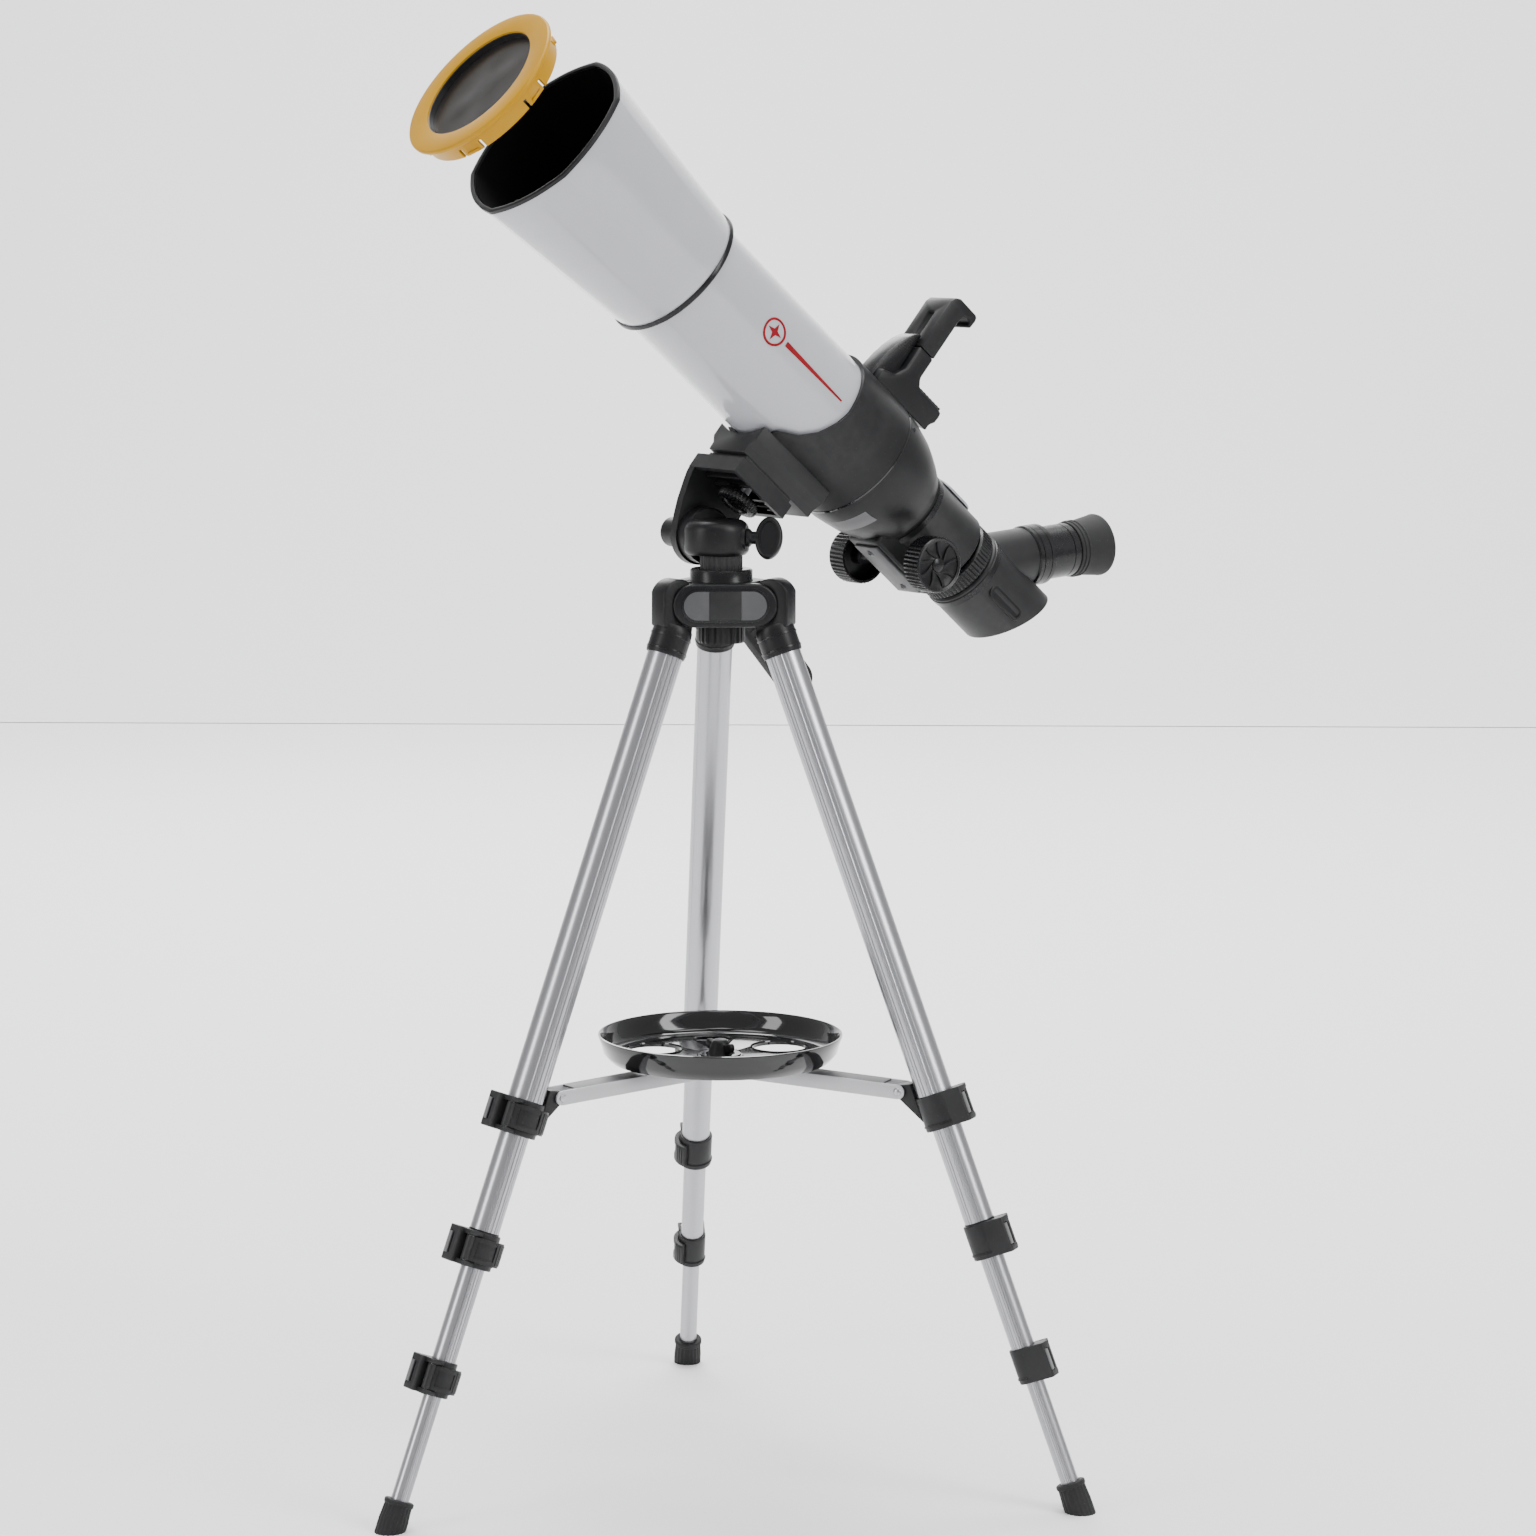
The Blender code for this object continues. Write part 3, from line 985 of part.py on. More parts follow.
def build_head_and_telescope(stand):
    pan = joint("hinge_pan", stand)
    build_pan_base(pan)
    build_pan_knob(pan)
    tilt = joint("hinge_tilt", pan, (0, 0, TILT_HEIGHT), (-ALTITUDE, 0, 0))
    build_bracket(tilt)
    build_handle(tilt)
    build_camera_screw(tilt)
    scope = joint("telescope_axis", tilt, (0, 0, AXIS_HEIGHT))
    build_tube(scope)
    build_lens(scope)
    build_hood(scope)
    build_housing(scope)
    build_focus_shaft(scope)
    draw = joint("slide_focus", scope)
    build_draw_tube(draw)
    turret = joint("hinge_diagonal", draw)
    build_diagonal(turret)
    build_eyepiece(turret)
    build_phone_holder(scope)
    build_cap(scope)


def centre_on_box(stand):
    """Move the stand so that the middle of the object's box is over the origin."""
    graph = bpy.context.evaluated_depsgraph_get()
    low, high = Vector((1e9,) * 3), Vector((-1e9,) * 3)
    for obj in PARTS.objects:
        if obj.type != "MESH":
            continue
        solid = obj.evaluated_get(graph)
        for vert in solid.data.vertices:
            spot = solid.matrix_world @ vert.co
            low = Vector(map(min, low, spot))
            high = Vector(map(max, high, spot))
    middle = (low + high) / 2
    stand.location = (-middle.x, -middle.y, -low.z)


def main():
    stand = joint("stand")
    build_crown(stand)
    build_post(stand)
    for tag, azimuth in LEG_AZIMUTHS.items():
        build_leg(tag, azimuth, stand)
    build_spreader(stand)
    build_head_and_telescope(stand)
    centre_on_box(stand)


main()
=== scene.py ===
"""Refracting telescope on a folding tripod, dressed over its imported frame."""

import json
import logging
import math
from dataclasses import dataclass
from enum import Enum
from typing import Callable, Iterable, Optional, Sequence

import bpy
from mathutils import Matrix, Vector


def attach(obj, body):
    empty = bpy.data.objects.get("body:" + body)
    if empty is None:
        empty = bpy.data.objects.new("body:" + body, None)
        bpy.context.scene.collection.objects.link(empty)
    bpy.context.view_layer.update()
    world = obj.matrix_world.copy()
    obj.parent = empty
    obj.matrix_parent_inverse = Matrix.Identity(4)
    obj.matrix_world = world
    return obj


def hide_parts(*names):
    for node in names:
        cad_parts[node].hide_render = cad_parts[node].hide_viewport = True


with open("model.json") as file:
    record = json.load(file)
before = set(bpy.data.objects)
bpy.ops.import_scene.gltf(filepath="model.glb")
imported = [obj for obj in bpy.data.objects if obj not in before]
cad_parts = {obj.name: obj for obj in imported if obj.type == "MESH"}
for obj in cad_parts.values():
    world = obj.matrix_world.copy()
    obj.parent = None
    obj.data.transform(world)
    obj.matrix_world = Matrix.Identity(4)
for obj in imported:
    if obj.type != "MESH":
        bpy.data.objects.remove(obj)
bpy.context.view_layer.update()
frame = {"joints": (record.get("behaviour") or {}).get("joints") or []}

MM = 0.001  # metres; sizes below are in millimetres, and frames in metres
WELD = 0.000002
LOG = logging.getLogger("telescope")
JOINTS = {joint["name"]: joint for joint in frame["joints"]}
Point = tuple[float, float]
Colour = tuple[float, float, float]


# ---------------------------------------------------------------- finishes
class Relief(Enum):
    """How a finish is broken up at close range."""

    GRAIN = "grain"
    STREAK = "streak"
    PEEL = "peel"


def new_group(name: str, inputs: Sequence[tuple[str, str, object]],
              outputs: Sequence[tuple[str, str]]) -> bpy.types.NodeTree:
    """Start a shader node group.

    Args:
        name: The group's name.
        inputs: Socket name, kind and default for each input.
        outputs: Socket name and kind for each output.

    Returns:
        The group, with its input and output nodes in place.
    """
    tree = bpy.data.node_groups.new(name, "ShaderNodeTree")
    for label, kind, value in inputs:
        socket = tree.interface.new_socket(label, in_out="INPUT", socket_type=kind)
        socket.default_value = value
    for label, kind in outputs:
        tree.interface.new_socket(label, in_out="OUTPUT", socket_type=kind)
    tree.nodes.new("NodeGroupInput").name = "in"
    tree.nodes.new("NodeGroupOutput").name = "out"
    return tree


def math_node(tree: bpy.types.NodeTree, kind: str, *values: object) -> bpy.types.NodeSocket:
    """Add a Math node and return its output.

    Args:
        tree: The tree that takes the node.
        kind: The operation.
        values: A number or an output socket for each input.

    Returns:
        The node's output socket.
    """
    node = tree.nodes.new("ShaderNodeMath")
    node.operation = kind
    for index, value in enumerate(values):
        if isinstance(value, bpy.types.NodeSocket):
            tree.links.new(value, node.inputs[index])
        else:
            node.inputs[index].default_value = value
    return node.outputs[0]


def noise(tree: bpy.types.NodeTree, where: bpy.types.NodeSocket, scale: object,
          detail: float = 3.0) -> bpy.types.NodeSocket:
    """Add a noise texture and return its factor.

    Args:
        tree: The tree that takes the node.
        where: The coordinates.
        scale: A number or an output socket.
        detail: Octaves of detail.

    Returns:
        The factor socket.
    """
    node = tree.nodes.new("ShaderNodeTexNoise")
    node.inputs["Detail"].default_value = detail
    tree.links.new(where, node.inputs["Vector"])
    if isinstance(scale, bpy.types.NodeSocket):
        tree.links.new(scale, node.inputs["Scale"])
    else:
        node.inputs["Scale"].default_value = scale
    return node.outputs["Fac"]


def surface_group() -> bpy.types.NodeTree:
    """Build the shared effect: broken colour, broken gloss, dust and a fine height.

    Returns:
        The node group.
    """
    tree = new_group("surface_breakup", [("Vector", "NodeSocketVector", (0, 0, 0)), ("Scale",
                                         "NodeSocketFloat", 400.0), ("Colour", "NodeSocketColor",
                                         (1, 1, 1, 1)), ("Tint", "NodeSocketColor", (1, 1, 1, 1)),
                                         ("Smooth", "NodeSocketFloat", 0.3), ("Rough",
                                         "NodeSocketFloat", 0.5), ("Dust", "NodeSocketFloat",
                                         0.03)], [("Colour", "NodeSocketColor"), ("Roughness",
                     "NodeSocketFloat"), ("Height", "NodeSocketFloat")])
    start, end = tree.nodes["in"], tree.nodes["out"]
    where = start.outputs["Vector"]
    fine = noise(tree, where, start.outputs["Scale"], 2.0)
    broad = noise(tree, where, 28.0, 4.0)
    patch = math_node(tree, "MULTIPLY", math_node(tree, "SUBTRACT", broad, 0.35), 2.6)
    patch.node.use_clamp = True
    mix = tree.nodes.new("ShaderNodeMix")
    mix.data_type = "RGBA"
    tree.links.new(patch, mix.inputs["Factor"])
    tree.links.new(start.outputs["Colour"], mix.inputs["A"])
    tree.links.new(start.outputs["Tint"], mix.inputs["B"])
    dusty = math_node(tree, "MULTIPLY", math_node(tree, "GREATER_THAN", noise(tree, where, 900.0,
                      1.0), 0.73), start.outputs["Dust"])
    dust = tree.nodes.new("ShaderNodeMix")
    dust.data_type = "RGBA"
    dust.inputs["B"].default_value = (0.55, 0.54, 0.52, 1)
    tree.links.new(dusty, dust.inputs["Factor"])
    tree.links.new(mix.outputs["Result"], dust.inputs["A"])
    spread = math_node(tree, "SUBTRACT", start.outputs["Rough"], start.outputs["Smooth"])
    share = math_node(tree, "ADD", math_node(tree, "MULTIPLY", broad, 0.6), math_node(tree,
                      "MULTIPLY", fine, 0.4))
    gloss = math_node(tree, "ADD", start.outputs["Smooth"], math_node(tree, "MULTIPLY", share,
                      spread))
    tree.links.new(dust.outputs["Result"], end.inputs["Colour"])
    tree.links.new(gloss, end.inputs["Roughness"])
    tree.links.new(fine, end.inputs["Height"])
    return tree


def wear_group() -> bpy.types.NodeTree:
    """Build the shared effect that lightens worn convex edges.

    Returns:
        The node group.
    """
    tree = new_group("edge_wear", [("Colour", "NodeSocketColor", (1, 1, 1, 1)), ("Worn",
                                   "NodeSocketColor", (1, 1, 1, 1)), ("Amount", "NodeSocketFloat",
                                   0.3)], [("Colour", "NodeSocketColor")])
    start, end = tree.nodes["in"], tree.nodes["out"]
    where = tree.nodes.new("ShaderNodeTexCoord").outputs["Object"]
    sharp = tree.nodes.new("ShaderNodeNewGeometry").outputs["Pointiness"]
    ridge = math_node(tree, "MULTIPLY", math_node(tree, "SUBTRACT", sharp, 0.53), 9.0)
    ridge.node.use_clamp = True
    worn = math_node(tree, "MULTIPLY", ridge, noise(tree, where, 160.0))
    amount = math_node(tree, "MULTIPLY", worn, start.outputs["Amount"])
    mix = tree.nodes.new("ShaderNodeMix")
    mix.data_type = "RGBA"
    tree.links.new(amount, mix.inputs["Factor"])
    tree.links.new(start.outputs["Colour"], mix.inputs["A"])
    tree.links.new(start.outputs["Worn"], mix.inputs["B"])
    tree.links.new(mix.outputs["Result"], end.inputs["Colour"])
    return tree


SURFACE = surface_group()
WEAR = wear_group()


@dataclass(frozen=True)
class Finish:
    """One finish: what the surface is made of and how light plays on it."""

    name: str
    slot: str
    colour: Colour
    tint: Colour
    smooth: float = 0.35
    rough: float = 0.5
    metallic: float = 0.0
    coat: float = 0.0
    coat_rough: float = 0.1
    relief: Relief = Relief.GRAIN
    scale: float = 900.0
    bump: float = 0.06
    wear: float = 0.15
    dust: float = 0.02
    transmission: float = 0.0
    specular: float = 0.5

    def material(self, turn: Optional[Matrix] = None, tag: str = "") -> bpy.types.Material:
        """Return this finish's material, made once for each direction of its streaks.

        Args:
            turn: Frame whose Z the streaks of a drawn metal follow.
            tag: Word that tells one direction's material from another's.

        Returns:
            The material.
        """
        label = f"{self.name}_{tag}" if tag else self.name
        known = bpy.data.materials.get(label)
        if known:
            return known
        made = bpy.data.materials.new(label)
        made.use_nodes = True
        tree = made.node_tree
        shader = tree.nodes["Principled BSDF"]
        where = tree.nodes.new("ShaderNodeTexCoord").outputs["Object"]
        if self.relief is Relief.STREAK:
            mapping = tree.nodes.new("ShaderNodeMapping")
            mapping.vector_type = "POINT"
            if turn is not None:
                mapping.inputs["Rotation"].default_value = turn.to_3x3().inverted().to_euler()
            stretch = tree.nodes.new("ShaderNodeMapping")
            stretch.inputs["Scale"].default_value = (1.0, 1.0, 0.02)
            tree.links.new(where, mapping.inputs["Vector"])
            tree.links.new(mapping.outputs["Vector"], stretch.inputs["Vector"])
            where = stretch.outputs["Vector"]
        body = tree.nodes.new("ShaderNodeGroup")
        body.node_tree = SURFACE
        tree.links.new(where, body.inputs["Vector"])
        body.inputs["Scale"].default_value = self.scale
        body.inputs["Colour"].default_value = (*self.colour, 1)
        body.inputs["Tint"].default_value = (*self.tint, 1)
        body.inputs["Smooth"].default_value = self.smooth
        body.inputs["Rough"].default_value = self.rough
        body.inputs["Dust"].default_value = self.dust
        worn = tree.nodes.new("ShaderNodeGroup")
        worn.node_tree = WEAR
        worn.inputs["Worn"].default_value = (*[min(1.0, c * 1.6 + 0.08) for c in self.colour], 1)
        worn.inputs["Amount"].default_value = self.wear
        tree.links.new(body.outputs["Colour"], worn.inputs["Colour"])
        tree.links.new(worn.outputs["Colour"], shader.inputs["Base Color"])
        tree.links.new(body.outputs["Roughness"], shader.inputs["Roughness"])
        bump = tree.nodes.new("ShaderNodeBump")
        bump.inputs["Strength"].default_value = self.bump
        bump.inputs["Distance"].default_value = 0.0004 if self.relief is Relief.PEEL else 0.0002
        tree.links.new(body.outputs["Height"], bump.inputs["Height"])
        tree.links.new(bump.outputs["Normal"], shader.inputs["Normal"])
        shader.inputs["Metallic"].default_value = self.metallic
        shader.inputs["Specular IOR Level"].default_value = self.specular
        shader.inputs["Coat Weight"].default_value = self.coat
        shader.inputs["Coat Roughness"].default_value = self.coat_rough
        if self.transmission:
            shader.inputs["Transmission Weight"].default_value = self.transmission
        return made


ENAMEL = Finish("white_enamel", "white_paint", (0.43, 0.435, 0.465), (0.41, 0.415, 0.445), 0.14,
                0.22, coat=0.8, coat_rough=0.04, relief=Relief.PEEL, scale=260.0, bump=0.015,
                wear=0.0, dust=0.004)
SATIN = Finish("black_satin", "black_plastic", (0.006, 0.006, 0.007), (0.010, 0.010, 0.011), 0.3,
               0.46, wear=0.15, specular=0.25)
SHEEN = Finish("black_sheen", "black_plastic", (0.005, 0.005, 0.006), (0.008, 0.008, 0.009), 0.2,
               0.34, wear=0.12, bump=0.03, specular=0.3)
MATT = Finish("black_matt", "black_plastic", (0.001, 0.001, 0.001), (0.0015, 0.0015, 0.0015), 0.85,
              0.95, wear=0.0, dust=0.0, specular=0.08)
CHARCOAL = Finish("charcoal_plastic", "grey_plastic", (0.013, 0.013, 0.014), (0.019, 0.019, 0.020),
                  0.35, 0.52, wear=0.2, specular=0.27)
PANEL = Finish("panel_grey", "black_plastic", (0.05, 0.051, 0.054), (0.065, 0.066, 0.07), 0.4, 0.55)
LATCH = Finish("latch_grey", "grey_plastic", (0.11, 0.11, 0.115), (0.14, 0.14, 0.145), 0.4, 0.55)
PLATE = Finish("plate_silver", "black_plastic", (0.36, 0.37, 0.39), (0.42, 0.43, 0.45), 0.3, 0.42,
               metallic=0.7, relief=Relief.STREAK, scale=700.0)
LABEL = Finish("label_grey", "black_plastic", (0.10, 0.10, 0.105), (0.12, 0.12, 0.125), 0.5, 0.6)
GLOSS = Finish("tray_gloss", "gloss_black", (0.002, 0.002, 0.0025), (0.003, 0.003, 0.0035), 0.06,
               0.14, coat=0.35, coat_rough=0.03, bump=0.012, scale=300.0, wear=0.1, dust=0.02)
TUBE = Finish("anodised_silver", "anodised_tube", (0.40, 0.40, 0.425), (0.46, 0.46, 0.48), 0.24,
              0.34, metallic=0.95, relief=Relief.STREAK, scale=1500.0, bump=0.03, wear=0.05,
              dust=0.0)
SHEET = Finish("channel_grey", "spreader_sheet", (0.44, 0.44, 0.46), (0.50, 0.50, 0.52), 0.35, 0.5,
               metallic=0.35, relief=Relief.STREAK, scale=800.0)
# The channel's web is the same sheet metal as its flanges; its darker grey here is painted shade.
SHADED_WEB = Finish("channel_web_painted_shade", "spreader_sheet", (0.09, 0.09, 0.095), (0.12, 0.12, 0.125), 0.4, 0.55,
             metallic=0.3)
RUBBER = Finish("foot_rubber", "rubber", (0.008, 0.008, 0.009), (0.013, 0.013, 0.013), 0.6, 0.78,
                scale=1400.0, bump=0.12, dust=0.04, specular=0.35)
YELLOW = Finish("cap_yellow", "yellow_plastic", (0.46, 0.235, 0.0), (0.42, 0.21, 0.0), 0.34, 0.46,
                bump=0.04, wear=0.0, dust=0.0, specular=0.2)
FILM = Finish("solar_film", "yellow_plastic", (0.02, 0.018, 0.017), (0.028, 0.025, 0.023), 0.22,
              0.3, metallic=0.4, relief=Relief.PEEL, scale=60.0, bump=0.05, dust=0.005)
GLASS = Finish("objective_glass", "coated_glass", (0.55, 0.7, 0.66), (0.5, 0.6, 0.75), 0.02, 0.04,
               relief=Relief.PEEL, scale=40.0, bump=0.0, wear=0.0, dust=0.0, transmission=0.9)
RED = Finish("mark_red", "white_paint", (0.24, 0.0, 0.006), (0.21, 0.0, 0.005), 0.4, 0.5, wear=0.0,
             dust=0.0, specular=0.2)
STEEL = Finish("screw_steel", "anodised_tube", (0.5, 0.5, 0.52), (0.42, 0.42, 0.44), 0.25, 0.4,
               metallic=0.95)


# ---------------------------------------------------------------- hand tools
def deselect() -> None:
    """Leave edit mode and clear the selection."""
    if bpy.context.object and bpy.context.object.mode != "OBJECT":
        bpy.ops.object.mode_set(mode="OBJECT")
    for other in bpy.context.selected_objects:
        other.select_set(False)


def pick(piece: bpy.types.Object) -> None:
    """Make a piece the only selected and the active one."""
    deselect()
    piece.select_set(True)
    bpy.context.view_layer.objects.active = piece


def edit(piece: bpy.types.Object) -> None:
    """Enter edit mode on a piece with everything selected."""
    pick(piece)
    bpy.ops.object.mode_set(mode="EDIT")
    bpy.ops.mesh.select_all(action="SELECT")


def tidy(piece: bpy.types.Object) -> bpy.types.Object:
    """Merge doubles and turn the faces outwards.

    Args:
        piece: The piece.

    Returns:
        The piece, out of edit mode.
    """
    edit(piece)
    bpy.ops.mesh.remove_doubles(threshold=WELD)
    bpy.ops.mesh.normals_make_consistent(inside=False)
    bpy.ops.object.mode_set(mode="OBJECT")
    return piece


def chain(corners: Sequence[Sequence[float]]) -> bpy.types.Object:
    """Draw an open chain of edges, one extruded vertex after another.

    Args:
        corners: The places of the vertices, in millimetres.

    Returns:
        The object that holds the chain, everything selected, in edit mode.
    """
    points = [[value * MM for value in corner] for corner in corners]
    deselect()
    bpy.ops.mesh.primitive_plane_add(size=MM, location=(0, 0, 0))
    bpy.ops.object.mode_set(mode="EDIT")
    bpy.ops.mesh.merge(type="CENTER")
    bpy.ops.transform.translate(value=points[0])
    for previous, following in zip(points, points[1:]):
        step = [b - a for a, b in zip(previous, following)]
        bpy.ops.mesh.extrude_region_move(TRANSFORM_OT_translate={"value": step})
    bpy.ops.mesh.select_all(action="SELECT")
    return bpy.context.object


def turned(profile: Sequence[Point], steps: int = 64, closed: bool = False) -> bpy.types.Object:
    """Spin a profile about Z.

    Args:
        profile: Radius and height of each corner, down the outer side.
        steps: Facets round the axis.
        closed: Whether the last corner joins the first, as on a ring.

    Returns:
        The spun piece.
    """
    loop = list(profile) + ([profile[0]] if closed else [])
    piece = chain([(radius, 0, height) for radius, height in loop])
    bpy.ops.mesh.spin(steps=steps, angle=2 * math.pi, center=(0, 0, 0), axis=(0, 0, 1))
    return tidy(piece)


def arc(radius: float, first: float, last: float, steps: int,
        centre: Point = (0, 0)) -> list[Point]:
    """Return points on a circle, from one angle in degrees to another.

    Args:
        radius: The circle's radius.
        first: Angle of the first point.
        last: Angle of the last point.
        steps: Number of chords.
        centre: The circle's centre.

    Returns:
        The points, both ends included.
    """
    turns = [math.radians(first + (last - first) * i / steps) for i in range(steps + 1)]
    return [(centre[0] + radius * math.cos(t), centre[1] + radius * math.sin(t)) for t in turns]


def pill(length: float, height: float, steps: int = 12) -> list[Point]:
    """Return a bar outline with round ends, about the origin.

    Args:
        length: Its length along X.
        height: Its height.
        steps: Chords on each end.

    Returns:
        The outline.
    """
    reach, end = (length - height) / 2, height / 2
    return arc(end, -90, 90, steps, (reach, 0)) + arc(end, 90, 270, steps, (-reach, 0))


def slab(outline: Sequence[Point], thickness: float) -> bpy.types.Object:
    """Fill an outline and extrude it, half to each side of its plane.

    Args:
        outline: Corners in X and Y.
        thickness: Distance extruded along Z.

    Returns:
        The plate.
    """
    piece = chain([(x, y, -thickness / 2) for x, y in outline])
    bpy.ops.mesh.edge_face_add()
    bpy.ops.mesh.extrude_region_move(TRANSFORM_OT_translate={"value": (0, 0, thickness * MM)})
    return tidy(piece)


def box(low: Sequence[float], high: Sequence[float]) -> bpy.types.Object:
    """Add a block, ready to be shaped.

    Args:
        low: Its lowest corner, in millimetres.
        high: Its highest corner.

    Returns:
        The block.
    """
    deselect()
    bpy.ops.mesh.primitive_cube_add(size=1, location=[(a + b) / 2 * MM for a, b in zip(low, high)],
                                    scale=[(b - a) * MM for a, b in zip(low, high)])
    bpy.ops.object.transform_apply(location=True, rotation=True, scale=True)
    return bpy.context.object


def bar(radius: float, start: float, end: float, steps: int = 40) -> bpy.types.Object:
    """Add a round bar along Z, from one height to another, as a piece of its own."""
    return turned([(0, end), (radius, end), (radius, start), (0, start)], steps)


def move(piece: bpy.types.Object, place: Matrix) -> bpy.types.Object:
    """Put a piece's mesh at a place, leaving its object at the origin.

    Args:
        piece: The piece.
        place: The frame that its own frame goes to.

    Returns:
        The piece.
    """
    piece.data.transform(place)
    if place.determinant() < 0:
        piece.data.flip_normals()
    return piece


def turn(angle: float, axis: str) -> Matrix:
    """Return a rotation in degrees about an axis."""
    return Matrix.Rotation(math.radians(angle), 4, axis)


def shift(x: float, y: float, z: float) -> Matrix:
    """Return a translation given in millimetres."""
    return Matrix.Translation(Vector((x, y, z)) * MM)


def apply(piece: bpy.types.Object, kind: str, **settings: object) -> bpy.types.Object:
    """Add a modifier with its settings and apply it.

    Args:
        piece: The piece that takes it.
        kind: The modifier's type.
        settings: Its properties.

    Returns:
        The piece.
    """
    pick(piece)
    modifier = piece.modifiers.new(kind.lower(), kind)
    for key, value in settings.items():
        setattr(modifier, key, value)
    bpy.ops.object.modifier_apply(modifier=modifier.name)
    return piece


def join(piece: bpy.types.Object, *others: bpy.types.Object) -> bpy.types.Object:
    """Weld other solids on to a piece with Booleans."""
    return combine(piece, "UNION", others)


def carve(piece: bpy.types.Object, *others: bpy.types.Object) -> bpy.types.Object:
    """Cut other solids out of a piece."""
    return combine(piece, "DIFFERENCE", others)


def combine(piece: bpy.types.Object, operation: str,
            others: Iterable[bpy.types.Object]) -> bpy.types.Object:
    """Apply Booleans and remove the tools.

    Args:
        piece: The piece that changes.
        operation: UNION, DIFFERENCE or INTERSECT.
        others: The tools, removed afterwards.

    Returns:
        The piece.
    """
    for other in others:
        apply(piece, "BOOLEAN", operation=operation, solver="EXACT", object=other)
        bpy.data.objects.remove(other, do_unlink=True)
    return piece


def soften(piece: bpy.types.Object, width: float, segments: int = 2,
           angle: float = 32) -> bpy.types.Object:
    """Round a piece's sharp edges with a bevel.

    Args:
        piece: The piece.
        width: The bevel's width, in millimetres.
        segments: Its facets.
        angle: Edges sharper than this, in degrees, are rounded.

    Returns:
        The piece.
    """
    return apply(piece, "BEVEL", width=width * MM, segments=segments, limit_method="ANGLE",
                 angle_limit=math.radians(angle), use_clamp_overlap=True, miter_outer="MITER_ARC")


def reshape(piece: bpy.types.Object, rule: Callable[[Vector], Vector]) -> bpy.types.Object:
    """Move each vertex of a piece.

    Args:
        piece: The piece.
        rule: Takes a vertex's place in millimetres and gives its new one.

    Returns:
        The piece.
    """
    for vertex in piece.data.vertices:
        vertex.co = rule(vertex.co / MM) * MM
    return piece


def merge(first: bpy.types.Object, *others: bpy.types.Object) -> bpy.types.Object:
    """Gather separate shells into one piece.

    Args:
        first: The piece that stays.
        others: The shells that it takes in.

    Returns:
        The piece.
    """
    pick(first)
    for other in others:
        other.select_set(True)
    bpy.ops.object.join()
    return first


def deliver(piece: bpy.types.Object, name: str, body: str, finish: Finish,
            stands_for: Sequence[str] = (), place: Optional[Matrix] = None, smooth: float = 34,
            material: Optional[bpy.types.Material] = None) -> bpy.types.Object:
    """Name, place, dress and mount a finished piece.

    Args:
        piece: The modelled piece.
        name: Its name.
        body: The CAD body that it rides on.
        finish: Its finish.
        stands_for: CAD nodes that it replaces.
        place: Where its own frame goes.
        smooth: Edges under this angle, in degrees, are shaded smooth.
        material: A material to use in place of the finish's own.

    Returns:
        The piece.
    """
    if place is not None:
        move(piece, place)
    piece.name = name
    piece.data.name = name
    piece.data.materials.clear()
    piece.data.materials.append(material or finish.material())
    pick(piece)
    bpy.ops.object.shade_smooth_by_angle(angle=math.radians(smooth))
    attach(piece, body)
    if stands_for:
        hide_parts(*stands_for)
    LOG.info("%s rides on %s in %s", name, body, finish.name)
    return piece


def along(place: Matrix, direction: str) -> Matrix:
    """Turn a piece made along Z so that it runs along another axis of a frame.

    Args:
        place: The frame.
        direction: One of its axes, with a minus sign for the other way.

    Returns:
        The frame for the piece.
    """
    turns = {"X": turn(90, "Y"), "-X": turn(-90, "Y"), "Y": turn(-90, "X"), "-Y": turn(90, "X"),
             "-Z": turn(180, "X"), "Z": Matrix.Identity(4)}
    return place @ turns[direction]


ON_SIDE = Matrix(((0, 0, 1, 0), (1, 0, 0, 0), (0, 1, 0, 0), (0, 0, 0, 1)))
UPRIGHT = turn(90, "X")


def axes(origin: Sequence[float], x: Vector, y: Vector, z: Vector) -> Matrix:
    """Return the frame with the given origin and axes.

    Args:
        origin: The origin, in metres.
        x: The frame's X axis.
        y: Its Y axis.
        z: Its Z axis.

    Returns:
        The frame.
    """
    made = Matrix((x, y, z)).transposed().to_4x4()
    made.translation = Vector(origin)
    return made


def stand_frame() -> Matrix:
    """Return the upright frame on the tripod's axis, at floor level."""
    pivot = JOINTS["pan_turn"]["pos_m"]
    return Matrix.Translation((pivot[0], pivot[1], 0))


def leg_frame(tag: str) -> Matrix:
    """Return a leg's frame: origin on its hinge pin, -Z down the leg, +X outwards.

    Args:
        tag: The leg's name.

    Returns:
        The frame.
    """
    y = Vector(JOINTS[f"leg_{tag}_fold"]["axis"]).normalized()
    z = -Vector(JOINTS[f"middle_{tag}_slide"]["axis"]).normalized()
    return axes(JOINTS[f"leg_{tag}_fold"]["pos_m"], y.cross(z), y, z)


def tilt_frame() -> Matrix:
    """Return the tilting frame: X along the tilt axis, Y rearwards along the telescope."""
    y = Vector(JOINTS["focus_slide"]["axis"]).normalized()
    x = Vector((1, 0, 0))
    return axes(JOINTS["tilt_turn"]["pos_m"], x, y, x.cross(y))


